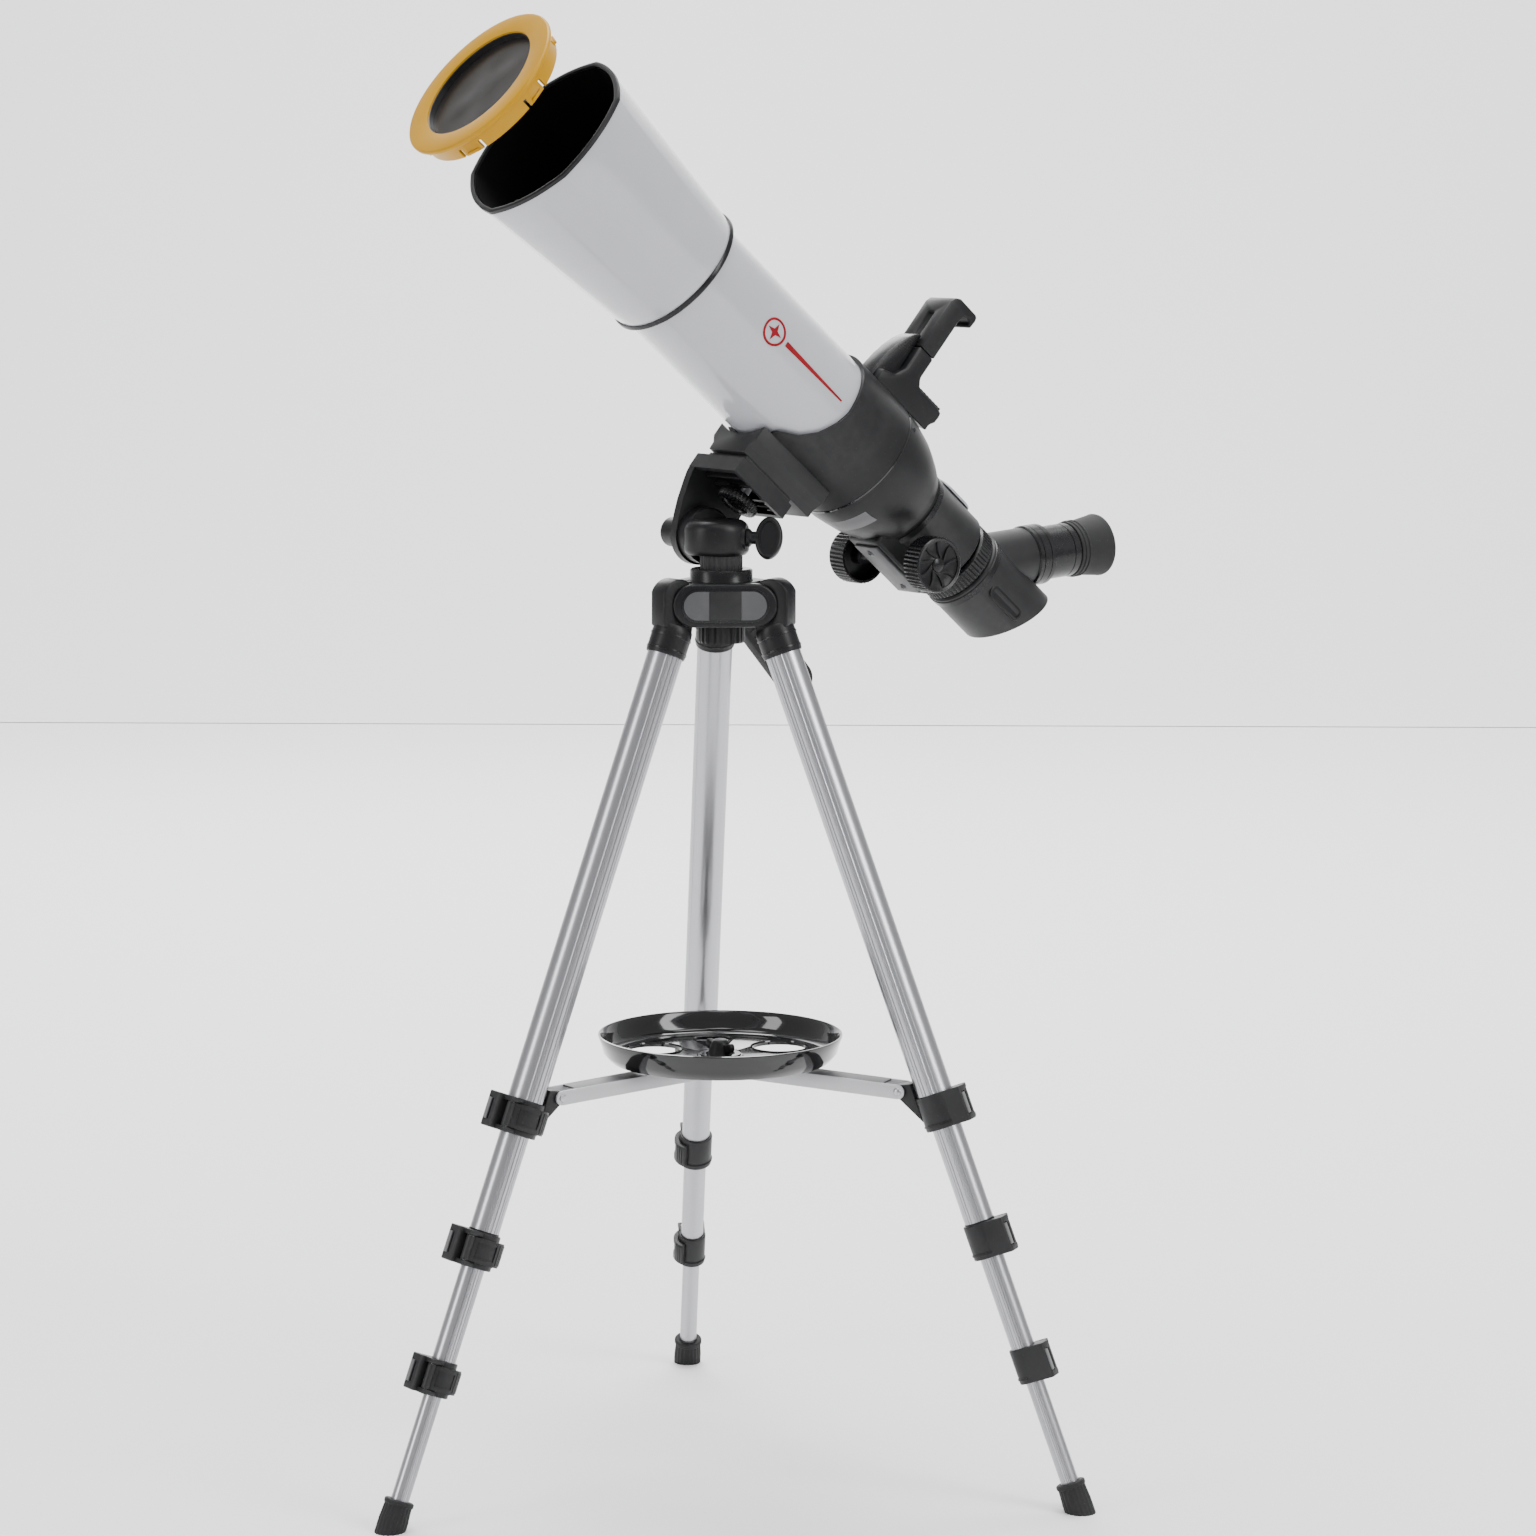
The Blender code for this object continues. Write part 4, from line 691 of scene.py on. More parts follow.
def ribs(piece: bpy.types.Object, count: int, depth: float, radius: float,
         keep: Callable[[Vector], bool] = lambda spot: True) -> bpy.types.Object:
    """Draw a turned piece's rim in and out into ribs.

    Args:
        piece: A piece turned about Z.
        count: Number of ribs.
        depth: Depth of the grooves between them.
        radius: Vertices beyond this radius are moved.
        keep: Test for the vertices that take the ribs.

    Returns:
        The piece.
    """
    def rule(spot: Vector) -> Vector:
        """Draw one vertex towards the axis."""
        reach = math.hypot(spot.x, spot.y)
        if reach < radius or not keep(spot):
            return spot
        wave = 0.5 - 0.5 * math.cos(count * math.atan2(spot.y, spot.x))
        scale = (reach - depth * wave) / reach
        return Vector((spot.x * scale, spot.y * scale, spot.z))
    return reshape(piece, rule)


def screw_head(radius: float, height: float) -> bpy.types.Object:
    """Model a cross-slotted screw head, seat at Z = 0.

    Args:
        radius: The head's radius.
        height: Its height.

    Returns:
        The head.
    """
    head = turned([(0, height), (radius * 0.6, height * 0.92), (radius * 0.92, height * 0.5),
                   (radius, 0), (0, 0)], 24)
    arm = radius * 0.16
    return carve(head, box((-radius * 0.6, -arm, height * 0.45), (radius * 0.6, arm, height * 2)),
                 box((-arm, -radius * 0.6, height * 0.45), (arm, radius * 0.6, height * 2)))


# ---------------------------------------------------------------- telescope
@dataclass
class Telescope:
    """Tube, hood, lens, rear casting and phone holder, in the telescope's frame.

    Lengths along the tube run along Y, rearwards; x is across and z is up.
    """

    place: Matrix
    tube: float = 40
    tube_front: float = 142
    hood_rear: float = 130
    hood_front: float = 246
    hood_small: float = 43.4
    hood_large: float = 54.5
    hood_wave: float = 0.024
    collar: float = 42.5
    neck: float = 27.5
    body: str = "telescope"

    def aimed(self) -> Matrix:
        """Return the frame whose Z is the way the telescope points."""
        return along(self.place, "-Y")

    def hood(self) -> None:
        """Model the dew hood: round seat, soft six-sided mouth and a matt lining."""
        ratio = (self.hood_large - self.hood_small) / (self.hood_front - self.hood_rear)
        steps = 10
        span = self.hood_front - self.hood_rear
        seat = self.tube + 0.3
        outer = [(self.hood_small + ratio * span * i / steps, self.hood_rear + span * i / steps)
                 for i in range(steps + 1)]
        profile = outer[::-1] + [(seat, self.hood_rear), (seat, self.tube_front + 0.3)]
        mouth = self.hood_large - 2.2
        profile += [(seat + (mouth - seat) * i / 8, self.tube_front + (self.hood_front
                     - self.tube_front) * i / 8) for i in range(1, 9)]
        hood = turned(profile, 144, closed=True)
        hood = reshape(hood, self.lobed)
        soften(hood, 0.5, 3, 60)
        deliver(hood, "dew_hood", self.body, ENAMEL, ["hood"], self.aimed(), 40)
        lining = turned([(mouth - 0.25, self.hood_front - 1.2), (seat + 0.1, self.tube_front + 2),
                         (seat - 0.2, self.tube_front + 2), (mouth - 0.75, self.hood_front - 1.2)],
                        144, closed=True)
        deliver(reshape(lining, self.lobed), "hood_lining", self.body, MATT, (), self.aimed(), 40)
        lip = self.hood_large
        bead = turned([(lip + 0.35, self.hood_front - 1.6), (lip + 0.3, self.hood_front + 0.5), (lip
                       - 1.1, self.hood_front + 0.9), (lip - 2.5, self.hood_front + 0.5), (lip
                       - 2.5, self.hood_front - 1.4), (lip - 1.2, self.hood_front - 1.6)], 144,
                      closed=True)
        deliver(reshape(bead, self.lobed), "hood_lip", self.body, SATIN, (), self.aimed(), 50)

    def lobed(self, spot: Vector) -> Vector:
        """Draw a round section out into six soft sides, more so towards the mouth.

        Args:
            spot: A place on the round section.

        Returns:
            Its place on the six-sided one.
        """
        share = (spot.z - self.hood_rear) / (self.hood_front - self.hood_rear)
        share = max(0.0, min(1.0, share)) ** 0.6
        side = math.radians(60)
        across = (math.atan2(spot.y, spot.x) + side / 2) % side - side / 2
        corner = (1 / math.cos(across) - 1) / (1 / math.cos(side / 2) - 1)
        scale = 1 + self.hood_wave * share * (1.7 * corner - 0.75)
        return Vector((spot.x * scale, spot.y * scale, spot.z))

    def tube_and_lens(self) -> None:
        """Model the painted tube, its black front ring, lens and lens cell."""
        inner = self.tube - 1.5
        tube = turned([(self.tube, self.hood_rear + 4), (self.tube, -15), (inner, -15), (inner,
                       self.hood_rear + 4)], 128, closed=True)
        deliver(tube, "main_tube", self.body, ENAMEL, ["optical_tube"], self.aimed(), 40)
        front = self.tube_front
        cell = turned([(self.tube, front), (self.tube, self.hood_rear + 4.2), (inner, self.hood_rear
                       + 4.2), (inner, 119), (38.3, 119), (33, 121), (33, 122.6), (36, 124), (38.4,
                       front)], 128, closed=True)
        deliver(cell, "lens_cell", self.body, MATT, (), self.aimed(), 30)
        bulge = [(38.2 * s, 117 + 2.5 * (1 - s * s)) for s in [i / 14 for i in range(15)]]
        rear = [(r, 228 - z) for r, z in reversed(bulge)]
        deliver(turned(bulge + rear, 96), "front_lens", self.body, GLASS, ["objective_lens"],
                self.aimed(), 30)
        back = self.hood_rear
        ring = turned([(44.0, back + 0.4), (44.3, back - 0.4), (44.3, back - 2.2), (43.6, back
                       - 3.0), (40.1, back - 3.0), (40.1, back + 0.4)], 144, closed=True)
        deliver(ring, "hood_ring", self.body, SHEEN, (), self.aimed(), 40)
        groove = turned([(40.9, back - 2.9), (40.9, back - 3.6), (40.02, back - 3.9), (40.02, back
                         - 2.9)], 144, closed=True)
        deliver(groove, "hood_ring_seal", self.body, SATIN, (), self.aimed(), 40)

    def mark(self) -> None:
        """Model the red printed ring, four-pointed star and stripe on the tube's side."""
        ring = turned([(8.4, 0.15), (8.4, -0.15), (7.0, -0.15), (7.0, 0.15)], 64, closed=True)
        star = []
        for i in range(8):
            reach = 5.6 if i % 2 == 0 else 1.9
            star.append((reach * math.cos(i * math.pi / 4), reach * math.sin(i * math.pi / 4)))
        stripe = [(-11, -1.6), (-64, -0.5), (-64, 0.5), (-11, 1.6)]
        sign = merge(ring, slab(star, 0.3), slab(stripe, 0.3))
        edit(sign)
        bpy.ops.mesh.subdivide(number_cuts=3)
        bpy.ops.object.mode_set(mode="OBJECT")
        middle, around = 72, math.radians(3)

        def wrap(spot: Vector) -> Vector:
            """Lay a flat point on the tube's side."""
            reach, angle = self.tube + spot.z + 0.17, around - spot.y / self.tube
            return Vector((reach * math.cos(angle), reach * math.sin(angle), middle + spot.x))
        deliver(reshape(sign, wrap), "side_mark", self.body, RED, (), self.aimed(), 30)

    def housing(self) -> None:
        """Model the rear casting: swept collar, dome, shoe, neck and pinion block."""
        dome = [(self.collar, -46), (42.0, -54), (40.2, -63), (38.4, -71), (35.8, -78), (32.8, -85),
                (29.9, -90.5), (28.4, -92.6)]
        profile = [(40.3, 24), (self.collar, 24), (self.collar, -30), *dome, (self.neck, -94),
                   (self.neck, -137.6), (self.neck - 1, -138.8), (22.4, -138.8), (22.4, -92), (38,
                   -60), (40.3, -20)]
        casting = move(turned(profile, 112, closed=True), turn(90, "X"))
        sweep = [(-62, 90), (0, 90), (0, 0), (-2, -9), (-6.2, -20), (-13, -28.5), (-24, -34), (-62,
                 -34)]
        carve(casting, move(slab(sweep, 200), ON_SIDE))
        block = box((-15, 83, -34.5), (15, 136.8, -17))
        join(casting, soften(block, 2.6, 3))
        soften(casting, 0.5, 2, 38)
        deliver(casting, "rear_casting", self.body, SATIN, ["rear_housing"], self.place, 36)
        shoe = [(-17.5, -55.7), (17.5, -55.7), (17.9, -50.7), (22, -45.7), (22, -31), (-22, -31),
                (-22, -45.7), (-17.9, -50.7)]
        foot = move(slab(shoe, 63), shift(0, 0.5, 0) @ UPRIGHT)
        carve(foot, move(bar(self.collar + 0.05, -50, 50, 96), turn(90, "X")))
        soften(foot, 1.4, 3)
        deliver(foot, "mounting_shoe", self.body, CHARCOAL, (), self.place)
        seam = turned([(42.72, -45.2), (42.72, -46.2), (42.1, -46.2), (42.1, -45.2)], 128,
                      closed=True)
        deliver(seam, "casting_seam", self.body, GLOSS, (), self.aimed(), 30)
        screw = screw_head(1.9, 0.8)
        spot = self.place @ turn(-39, "Y") @ shift(42.0, 50, 0) @ turn(90, "Y")
        deliver(screw, "collar_screw", self.body, CHARCOAL, (), spot)

    def trim(self) -> None:
        """Model the blank label, the silver rim on the neck and the pinion cover."""
        patch = slab([(12, -14), (12, 14), (-12, 14), (-12, -14)], 0.3)
        edit(patch)
        bpy.ops.mesh.subdivide(number_cuts=11)
        bpy.ops.object.mode_set(mode="OBJECT")

        def wrap(spot: Vector) -> Vector:
            """Lay a flat point on the casting's underside."""
            length = 65 + spot.x
            reach = 42.6 if length < 46 else 42.6 - 0.13 * (length - 46)
            if length > 63:
                reach -= 0.19 * (length - 63)
            angle = math.radians(-68) + spot.y / reach
            reach += spot.z + 0.1
            return Vector((reach * math.cos(angle), length, reach * math.sin(angle)))
        deliver(reshape(patch, wrap), "blank_label", self.body, LABEL, (), self.place, 30)
        rim = turned([(self.neck + 0.7, -95.5), (self.neck + 0.7, -99), (self.neck - 0.2, -99.4),
                      (self.neck - 0.2, -95.1)], 96, closed=True)
        deliver(rim, "neck_band", self.body, SHEEN, (), self.aimed())
        plate = soften(slab(pill(34, 20), 1.6), 0.5)
        crown = self.place @ shift(0, 117, self.neck + 0.2) @ turn(90, "Z")
        deliver(plate, "neck_plate", self.body, PLATE, (), crown, 34, PLATE.material(self.place,
                "neck"))
        cover = soften(box((-11, 88, -36.2), (11, 133, -34.2)), 0.8)
        for y in (94, 127):
            join(cover, move(screw_head(2.3, 1.1), shift(0, y, -36.1) @ turn(180, "X")))
        deliver(cover, "pinion_cover", self.body, PANEL, (), self.place)

    def phone_holder(self) -> None:
        """Model the phone holder's fixed jaw, lobe and rail, and its sprung jaw."""
        half = 13
        base = [(20, 37), (20, 48.5), (30, 52), (34, 60), (34, 76.7), (46.5, 76.7), (46.5, 62), (50,
                57.2), (68, 57), (72.5, 56), (73, 53), (72.5, 48.5), (70, 45), (70, 37)]
        fixed = move(slab(base, 2 * half), ON_SIDE)
        carve(fixed, move(bar(self.collar - 0.2, -100, 100, 96), turn(90, "X")))
        soften(fixed, 1.3, 3)
        deliver(fixed, "phone_base", self.body, SATIN, ["phone_holder"], self.place)
        lobe = [(18, 38), (18.4, 50), (20, 60), (22.5, 69), (25.5, 76.5), (28.5, 81.5), (31.5,
                84.3), (33.6, 84.5), (33.7, 60), (36, 46), (39, 38)]
        fin = soften(move(slab(lobe, 15), ON_SIDE), 1.8, 3)
        deliver(fin, "phone_lobe", self.body, SHEEN, (), self.place)
        rail = soften(box((-9, 37, 57), (9, 43.5, 108)), 0.8)
        deliver(rail, "phone_rail", self.body, CHARCOAL, (), self.place)
        grip = soften(box((-12, 49, 56.6), (12, 71, 58.2)), 0.6)
        for y in range(51, 70, 3):
            carve(grip, box((-15, y - 0.5, 57.6), (15, y + 0.5, 60)))
        deliver(grip, "phone_pad", self.body, CHARCOAL, (), self.place)
        hook = [(34, 77), (34, 112), (35.5, 116), (39, 118), (54, 118), (56, 117), (56.5, 114.5),
                (56, 109), (53.8, 108.4), (53, 111.6), (50, 112), (47.5, 111), (46.6, 107), (46.5,
                77)]
        jaw = move(slab(hook, 2 * half), ON_SIDE)
        carve(jaw, box((-9.3, 36.7, 70), (9.3, 43.8, 109)), box((-3, 30, 84), (3, 36, 104)))
        soften(jaw, 1.2, 3)
        deliver(jaw, "sprung_jaw", "phone_jaw", SATIN, ["phone_jaw"], self.place)

    def build(self) -> None:
        """Model every piece of the telescope body."""
        self.hood()
        self.tube_and_lens()
        self.mark()
        self.housing()
        self.trim()
        self.phone_holder()


@dataclass
class SolarCap:
    """Yellow snap-on ring that holds the solar film, hanging clear of the hood."""

    place: Matrix
    front: float = 299
    outer: float = 51.5
    hole: float = 37.8
    skirt: float = 47

    def build(self) -> None:
        """Model the ring with its snap tabs, the film and the clamp ring behind it."""
        front, rear = self.front, self.front - 13.5
        ring = turned([(self.hole, front - 0.2), (self.outer - 0.8, front), (self.outer, front
                       - 0.8), (self.outer, front - 2.4), (self.outer - 0.6, front - 3),
                       (self.skirt, front - 3), (self.skirt, rear + 1.2), (self.skirt - 0.6, rear),
                       (self.skirt - 2, rear), (self.skirt - 2, front - 6.2), (self.hole, front
                       - 6.2)], 120, closed=True)
        for i in range(6):
            for side in (-1, 1):
                slot = box((self.skirt - 3, -1, rear - 1), (self.skirt + 1, 1, front - 7.5))
                carve(ring, move(slot, turn(60 * i + side * 9, "Z")))
            bump = soften(box((self.skirt - 1.2, -4, rear + 0.8), (self.skirt + 1, 4, rear + 2.8)),
                          0.4)
            join(ring, move(bump, turn(60 * i, "Z")))
        soften(ring, 0.3, 2, 40)
        place = along(self.place @ shift(0, 0, -5.5), "-Y")
        deliver(ring, "cap_ring", "solar_cap", YELLOW, ["solar_cap"], place, 36)
        film = turned([(0, front - 5.0), (self.hole + 2, front - 5.0), (self.hole + 2, front - 5.6),
                       (0, front - 5.6)], 96)
        edit(film)
        bpy.ops.mesh.subdivide(number_cuts=3)
        bpy.ops.object.mode_set(mode="OBJECT")

        def slack(spot: Vector) -> Vector:
            """Let the film sag into faint creases."""
            reach = 1 - math.hypot(spot.x, spot.y) / (self.hole + 2)
            fold = 0.5 * math.sin(spot.x * 0.17 + 1.3) * math.cos(spot.y * 0.14) * max(0, reach)
            return Vector((spot.x, spot.y, spot.z + fold))
        deliver(reshape(film, slack), "cap_film", "solar_cap", FILM, (), place, 60)
        keeper = turned([(self.hole + 0.2, front - 1.2), (self.hole - 0.4, front - 1.6), (self.hole
                         - 0.6, front - 4.9), (self.hole + 0.2, front - 4.9)], 120, closed=True)
        deliver(keeper, "cap_keeper", "solar_cap", SATIN, (), place, 40)


@dataclass
class Focuser:
    """Draw tube, knurled ring, focus shaft with its ribbed knobs, diagonal and eyepiece."""

    place: Matrix
    shaft: Matrix
    branch: Matrix
    draw: float = 22
    flange: float = 26.5
    knob: float = 17

    def draw_tube(self) -> None:
        """Model the sliding tube, its rack and the knurled ring behind the neck."""
        tube = turned([(self.draw, -60), (self.draw, -142), (19.6, -142), (19.6, -60)], 96,
                      closed=True)
        deliver(tube, "sliding_tube", "focuser", SHEEN, ["draw_tube"], along(self.place, "-Y"))
        rack = box((-3, 64, -24.3), (3, 137.5, -20.9))
        for gap in range(65, 137, 4):
            carve(rack, box((-4, gap, -26), (4, gap + 2, -23.1)))
        deliver(rack, "focus_rack", "focuser", CHARCOAL, (), self.place)
        low, high = -153.2, -141.5
        ring = turned([(19.6, high), (self.flange - 1.6, high), (self.flange - 0.4, high - 1),
                       (self.flange, high - 1.8), (self.flange, low + 1.8), (self.flange - 0.4, low
                       + 1), (self.flange - 1.6, low), (19.6, low)], 540, closed=True)
        ribs(ring, 60, 0.9, self.flange - 0.2)
        deliver(ring, "knurled_ring", "focuser", SHEEN, (), along(self.place, "-Y"), 28)

    def knobs(self) -> None:
        """Model the pinion, its shaft and a ribbed, hollow-backed knob on each end."""
        bars = bar(2.1, -44, 44, 32)
        pinion = ribs(bar(3.4, -5, 5, 120), 12, 1.0, 3)
        deliver(join(bars, pinion), "pinion_shaft", "focus_shaft", STEEL, ["focus_shaft"],
                along(self.shaft, "X"))
        for side, name in ((1, "right"), (-1, "left")):
            rim = self.knob
            shell = turned([(rim - 2.6, 44.1), (rim - 1.2, 44.5), (rim - 0.4, 44.1), (rim, 43.2),
                            (rim, 31.3), (rim - 0.5, 30.5), (rim - 2, 30.5), (rim - 2, 40), (rim
                            - 2.6, 40.4)], 480, closed=True)
            ribs(shell, 40, 0.9, rim - 0.3)
            place = along(self.shaft, "X" if side > 0 else "-X")
            deliver(shell, f"knob_rim_{name}", "focus_shaft", SHEEN, (), place, 28)
            face = turned([(0, 43.0), (4, 43.0), (5, 42.4), (6.5, 41.9), (rim - 4, 42.2), (rim
                           - 2.5, 43.2), (rim - 2.2, 40), (5.1, 38), (5.1, 30.5), (0, 30.5)], 96)
            for i in range(9):
                blade = [(4.5 + 10.2 * t / 10, 5.5 * math.sin(t / 10 * 1.7)) for t in range(11)]
                back = [(x, y - (1.3 + 0.9 * x / rim)) for x, y in reversed(blade)]
                vane = move(slab(blade + back, 1.6), turn(40 * i, "Z") @ shift(0, 0, 42.4))
                face = merge(face, vane)
            deliver(face, f"knob_face_{name}", "focus_shaft", SATIN, (), place)
            hub = turned([(0, 44.3), (3.2, 44.2), (4.2, 43.6), (4.4, 42.4), (0, 42.4)], 48)
            deliver(hub, f"knob_hub_{name}", "focus_shaft", SHEEN, (), place)

    def diagonal(self) -> None:
        """Model the prism housing, its cover with an embossed groove, branch and holder."""
        radius = 26.2
        shell = move(turned([(0, -153.8), (radius - 1, -153.8), (radius, -154.8), (radius, -224),
                             (0, -224)], 96), turn(90, "X"))
        lean = shift(0, 203, 0) @ turn(-22.5, "X")
        carve(shell, move(box((-100, 0, -100), (100, 100, 100)), lean))
        nose = move(bar(19.1, -155, -131.8, 80), turn(90, "X"))
        stem = move(bar(18, 18, 50, 80), self.to_branch())
        join(shell, nose, stem)
        carve(shell, move(bar(16.2, -188, -130, 64), turn(90, "X")), move(bar(16.2, 25, 60, 64),
              self.to_branch()))
        soften(shell, 1.6, 4, 34)
        deliver(shell, "prism_housing", "diagonal", CHARCOAL, ["diagonal"], self.place, 36)
        step = turned([(radius + 0.5, -156.5), (radius + 0.5, -160.5), (radius - 0.3, -161), (radius
                       - 0.3, -156)], 96, closed=True)
        deliver(step, "diagonal_band", "diagonal", SHEEN, (), along(self.place, "-Y"))
        for side in (-1, 1):
            rib = soften(slab(pill(30, 9), 1.6), 0.5, 2)
            inset = slab(pill(26, 5), 1.2)
            carve(rib, move(inset, shift(0, 0, 0.8)))
            spot = self.place @ shift(side * 25.3, 180, -6) @ turn(side * 90, "Y") @ turn(90, "Z")
            deliver(rib, "emboss_right" if side > 0 else "emboss_left", "diagonal", SATIN, (), spot)
        holder = turned([(16.2, 62.5), (18.2, 62.5), (19, 61.7), (19, 50.2), (18.2, 49.2), (16.2,
                         49.2)], 96, closed=True)
        for z in (53, 58.6):
            band = turned([(19.6, z + 0.25), (19.6, z - 0.25), (18.6, z - 0.25), (18.6, z + 0.25)],
                          96, closed=True)
            holder = carve(holder, band)
        deliver(holder, "eyepiece_holder", "diagonal", SHEEN, (), self.branch)

    def to_branch(self) -> Matrix:
        """Return the eyepiece axis in the telescope's frame."""
        return self.place.inverted() @ self.branch

    def eyepiece(self) -> None:
        """Model the eyepiece's barrel, body, eye lens and rubber cup."""
        body = turned([(15.5, 98.5), (15.5, 84.5), (16.3, 84.5), (16.7, 84.0), (16.7, 63.5), (16.3,
                       63), (15.9, 63), (15.9, 38.4), (15.5, 38), (14.4, 38), (14.4, 63), (11,
                       84.5), (11, 98.5)], 96, closed=True)
        groove = turned([(17.5, 79.6), (17.5, 79), (16.2, 79), (16.2, 79.6)], 96, closed=True)
        deliver(carve(body, groove), "eyepiece_body", "eyepiece", SHEEN, ["eyepiece"], self.branch)
        lens = turned([(0, 96.4), (6, 96.0), (11, 94.6), (11, 92), (0, 92)], 64)
        deliver(lens, "eye_lens", "eyepiece", GLOSS, (), self.branch)
        cup = turned([(19.3, 109.5), (19.5, 108.6), (19.2, 107.6), (17.8, 97), (17.3, 94.5), (17.3,
                      85.2), (17.0, 84.8), (15.8, 84.8), (15.8, 98.8), (16.8, 109.0), (17.4, 109.6),
                      (18.6, 109.8)], 96, closed=True)
        deliver(cup, "eyecup_rubber", "eyepiece", RUBBER, ["eyecup"], self.branch)
        for z in (88, 91):
            band = turned([(17.7, z + 0.7), (17.9, z), (17.7, z - 0.7), (17.1, z - 0.7), (17.1, z
                           + 0.7)], 96, closed=True)
            deliver(band, f"eyecup_rib_{round(z)}", "eyepiece", RUBBER, (), self.branch)

    def build(self) -> None:
        """Model every piece behind the neck."""
        self.draw_tube()
        self.knobs()
        self.diagonal()
        self.eyepiece()


# ---------------------------------------------------------------- head
@dataclass
class Head:
    """Pan drum, tilting bracket, screws and handle."""

    stand: Matrix
    tilt: Matrix
    pan_low: float = 554.8
    pan_high: float = 575.5
    axis: float = 565.12
    drum: float = 19.5

    def pan_drum(self) -> None:
        """Model the drum with its rounded top, tilt flat, spigot and screw boss."""
        low, high = self.pan_low, self.pan_high
        profile = [(0, high)] + [(self.drum - 6.5 + x, high - 6.5 + z) for x, z in arc(6.5, 90, 0,
                                 8)]
        profile += [(self.drum, low + 3), (self.drum - 0.6, low + 1.4), (self.drum - 2, low), (0,
                    low)]
        drum = move(turned(profile, 96), shift(-5, 0, 0))
        carve(drum, box((-100, -100, low - 1), (-12.6, 100, high + 1)))
        boss = move(bar(7.4, 5, 15.2, 48), shift(0, 0, self.axis) @ turn(44, "Z") @ turn(90, "Y"))
        spigot = bar(10.2, low - 9, low + 1, 64)
        join(drum, boss, spigot)
        trunnion = move(bar(3, -26, -11, 32), shift(0, 0, self.axis) @ turn(90, "Y"))
        join(drum, trunnion)
        soften(drum, 0.6, 2, 40)
        deliver(drum, "pan_drum", "pan", SATIN, ["pan_base"], self.stand, 36)

    def pan_screw(self) -> None:
        """Model the pan lock: stem, ribbed boss and oval paddle."""
        spot = self.stand @ shift(0, 0, self.axis) @ turn(44, "Z")
        stem = turned([(0, 22.5), (3.8, 22.5), (3.8, 18.6), (4.6, 17.8), (5.4, 17.2), (5.4, 15.8),
                       (3.1, 15.6), (3.1, 10.7), (0, 10.7)], 40)
        stem = move(stem, turn(90, "Y"))
        paddle = [(28.6 + 8.2 * math.cos(t), 13 * math.sin(t)) for t in [2 * math.pi * i / 56
                  for i in range(56)]]
        blade = move(slab(paddle, 6), turn(65, "X"))
        soften(blade, 1.8, 4)
        dish = [(28.8 + 5.4 * math.cos(t), 9.8 * math.sin(t)) for t in [2 * math.pi * i / 40
                for i in range(40)]]
        for side in (-1, 1):
            blade = carve(blade, move(slab(dish, 1.4), turn(65, "X") @ shift(0, 0, side * 3)))
        deliver(join(blade, stem), "pan_lock", "pan_knob", SATIN, ["pan_knob"], spot)

    def bracket(self) -> None:
        """Model the tilting bracket: hub, side plate, boss and hollow platform."""
        outline = [(18 * x, 18 * z) for x, z in arc(1, 205, 355, 22)]
        outline += [(17.6, 6), (16.2, 20), (16, 28), (16, 38), (-25, 38), (-27.6, 37.4), (-29, 36),
                    (-29.8, 33.6), (-30, 30), (-29.4, 25), (-28, 20), (-24, 8), (-20.4, 0)]
        plate = move(slab(outline, 5.8), shift(-24.1, 0, 0) @ ON_SIDE)
        platform = box((-27, -30, 28), (20, 16, 38))
        join(plate, platform)
        carve(plate, box((-21.2, -27, 20), (17, 13, 35)))
        soften(plate, 1.3, 3, 40)
        hub = move(turned([(0, 13), (15.8, 13), (16.8, 13.9), (16.8, 22), (0, 22)], 80), turn(-90,
                   "Y"))
        boss = move(turned([(0, 52), (7.4, 52), (9, 50.6), (9, 27.8), (10.4, 26.4), (0, 26.4)], 64),
                    turn(-90, "Y"))
        join(plate, hub, boss)
        carve(plate, move(bar(3.3, -26.3, 0, 32), turn(90, "Y")), move(bar(3.4, 25, 50, 32),
              shift(0, -4, 0)))
        deliver(plate, "tilt_frame", "telescope", SATIN, ["tilt_bracket"], self.tilt, 36)
        for y in (-20, -12, 4, 10):
            web = soften(box((-20.8, (y - 0.9), 29), (16.8, (y + 0.9), 35.2)), 0.4)
            carve(web, bar(13.8, 20, 31, 48))
            deliver(web, f"platform_web_{y + 30}", "telescope", SATIN, (), self.tilt)
        pad = soften(box((-19, -28, 37.6), (19, 14, 40.9)), 0.6)
        for y in range(-26, 13, 3):
            carve(pad, box((-25, y - 0.4, 40.4), (25, y + 0.4, 42)))
        deliver(carve(pad, move(bar(3.4, 30, 50, 32), shift(0, -4, 0))), "platform_pad",
                "telescope", RUBBER, (), self.tilt)
        ring = turned([(14.4, 21.2), (14.4, 20.6), (15.8, 20.6), (15.8, 21.2)], 64, closed=True)
        deliver(ring, "hub_ring", "telescope", CHARCOAL, (), self.tilt @ turn(-90, "Y"))

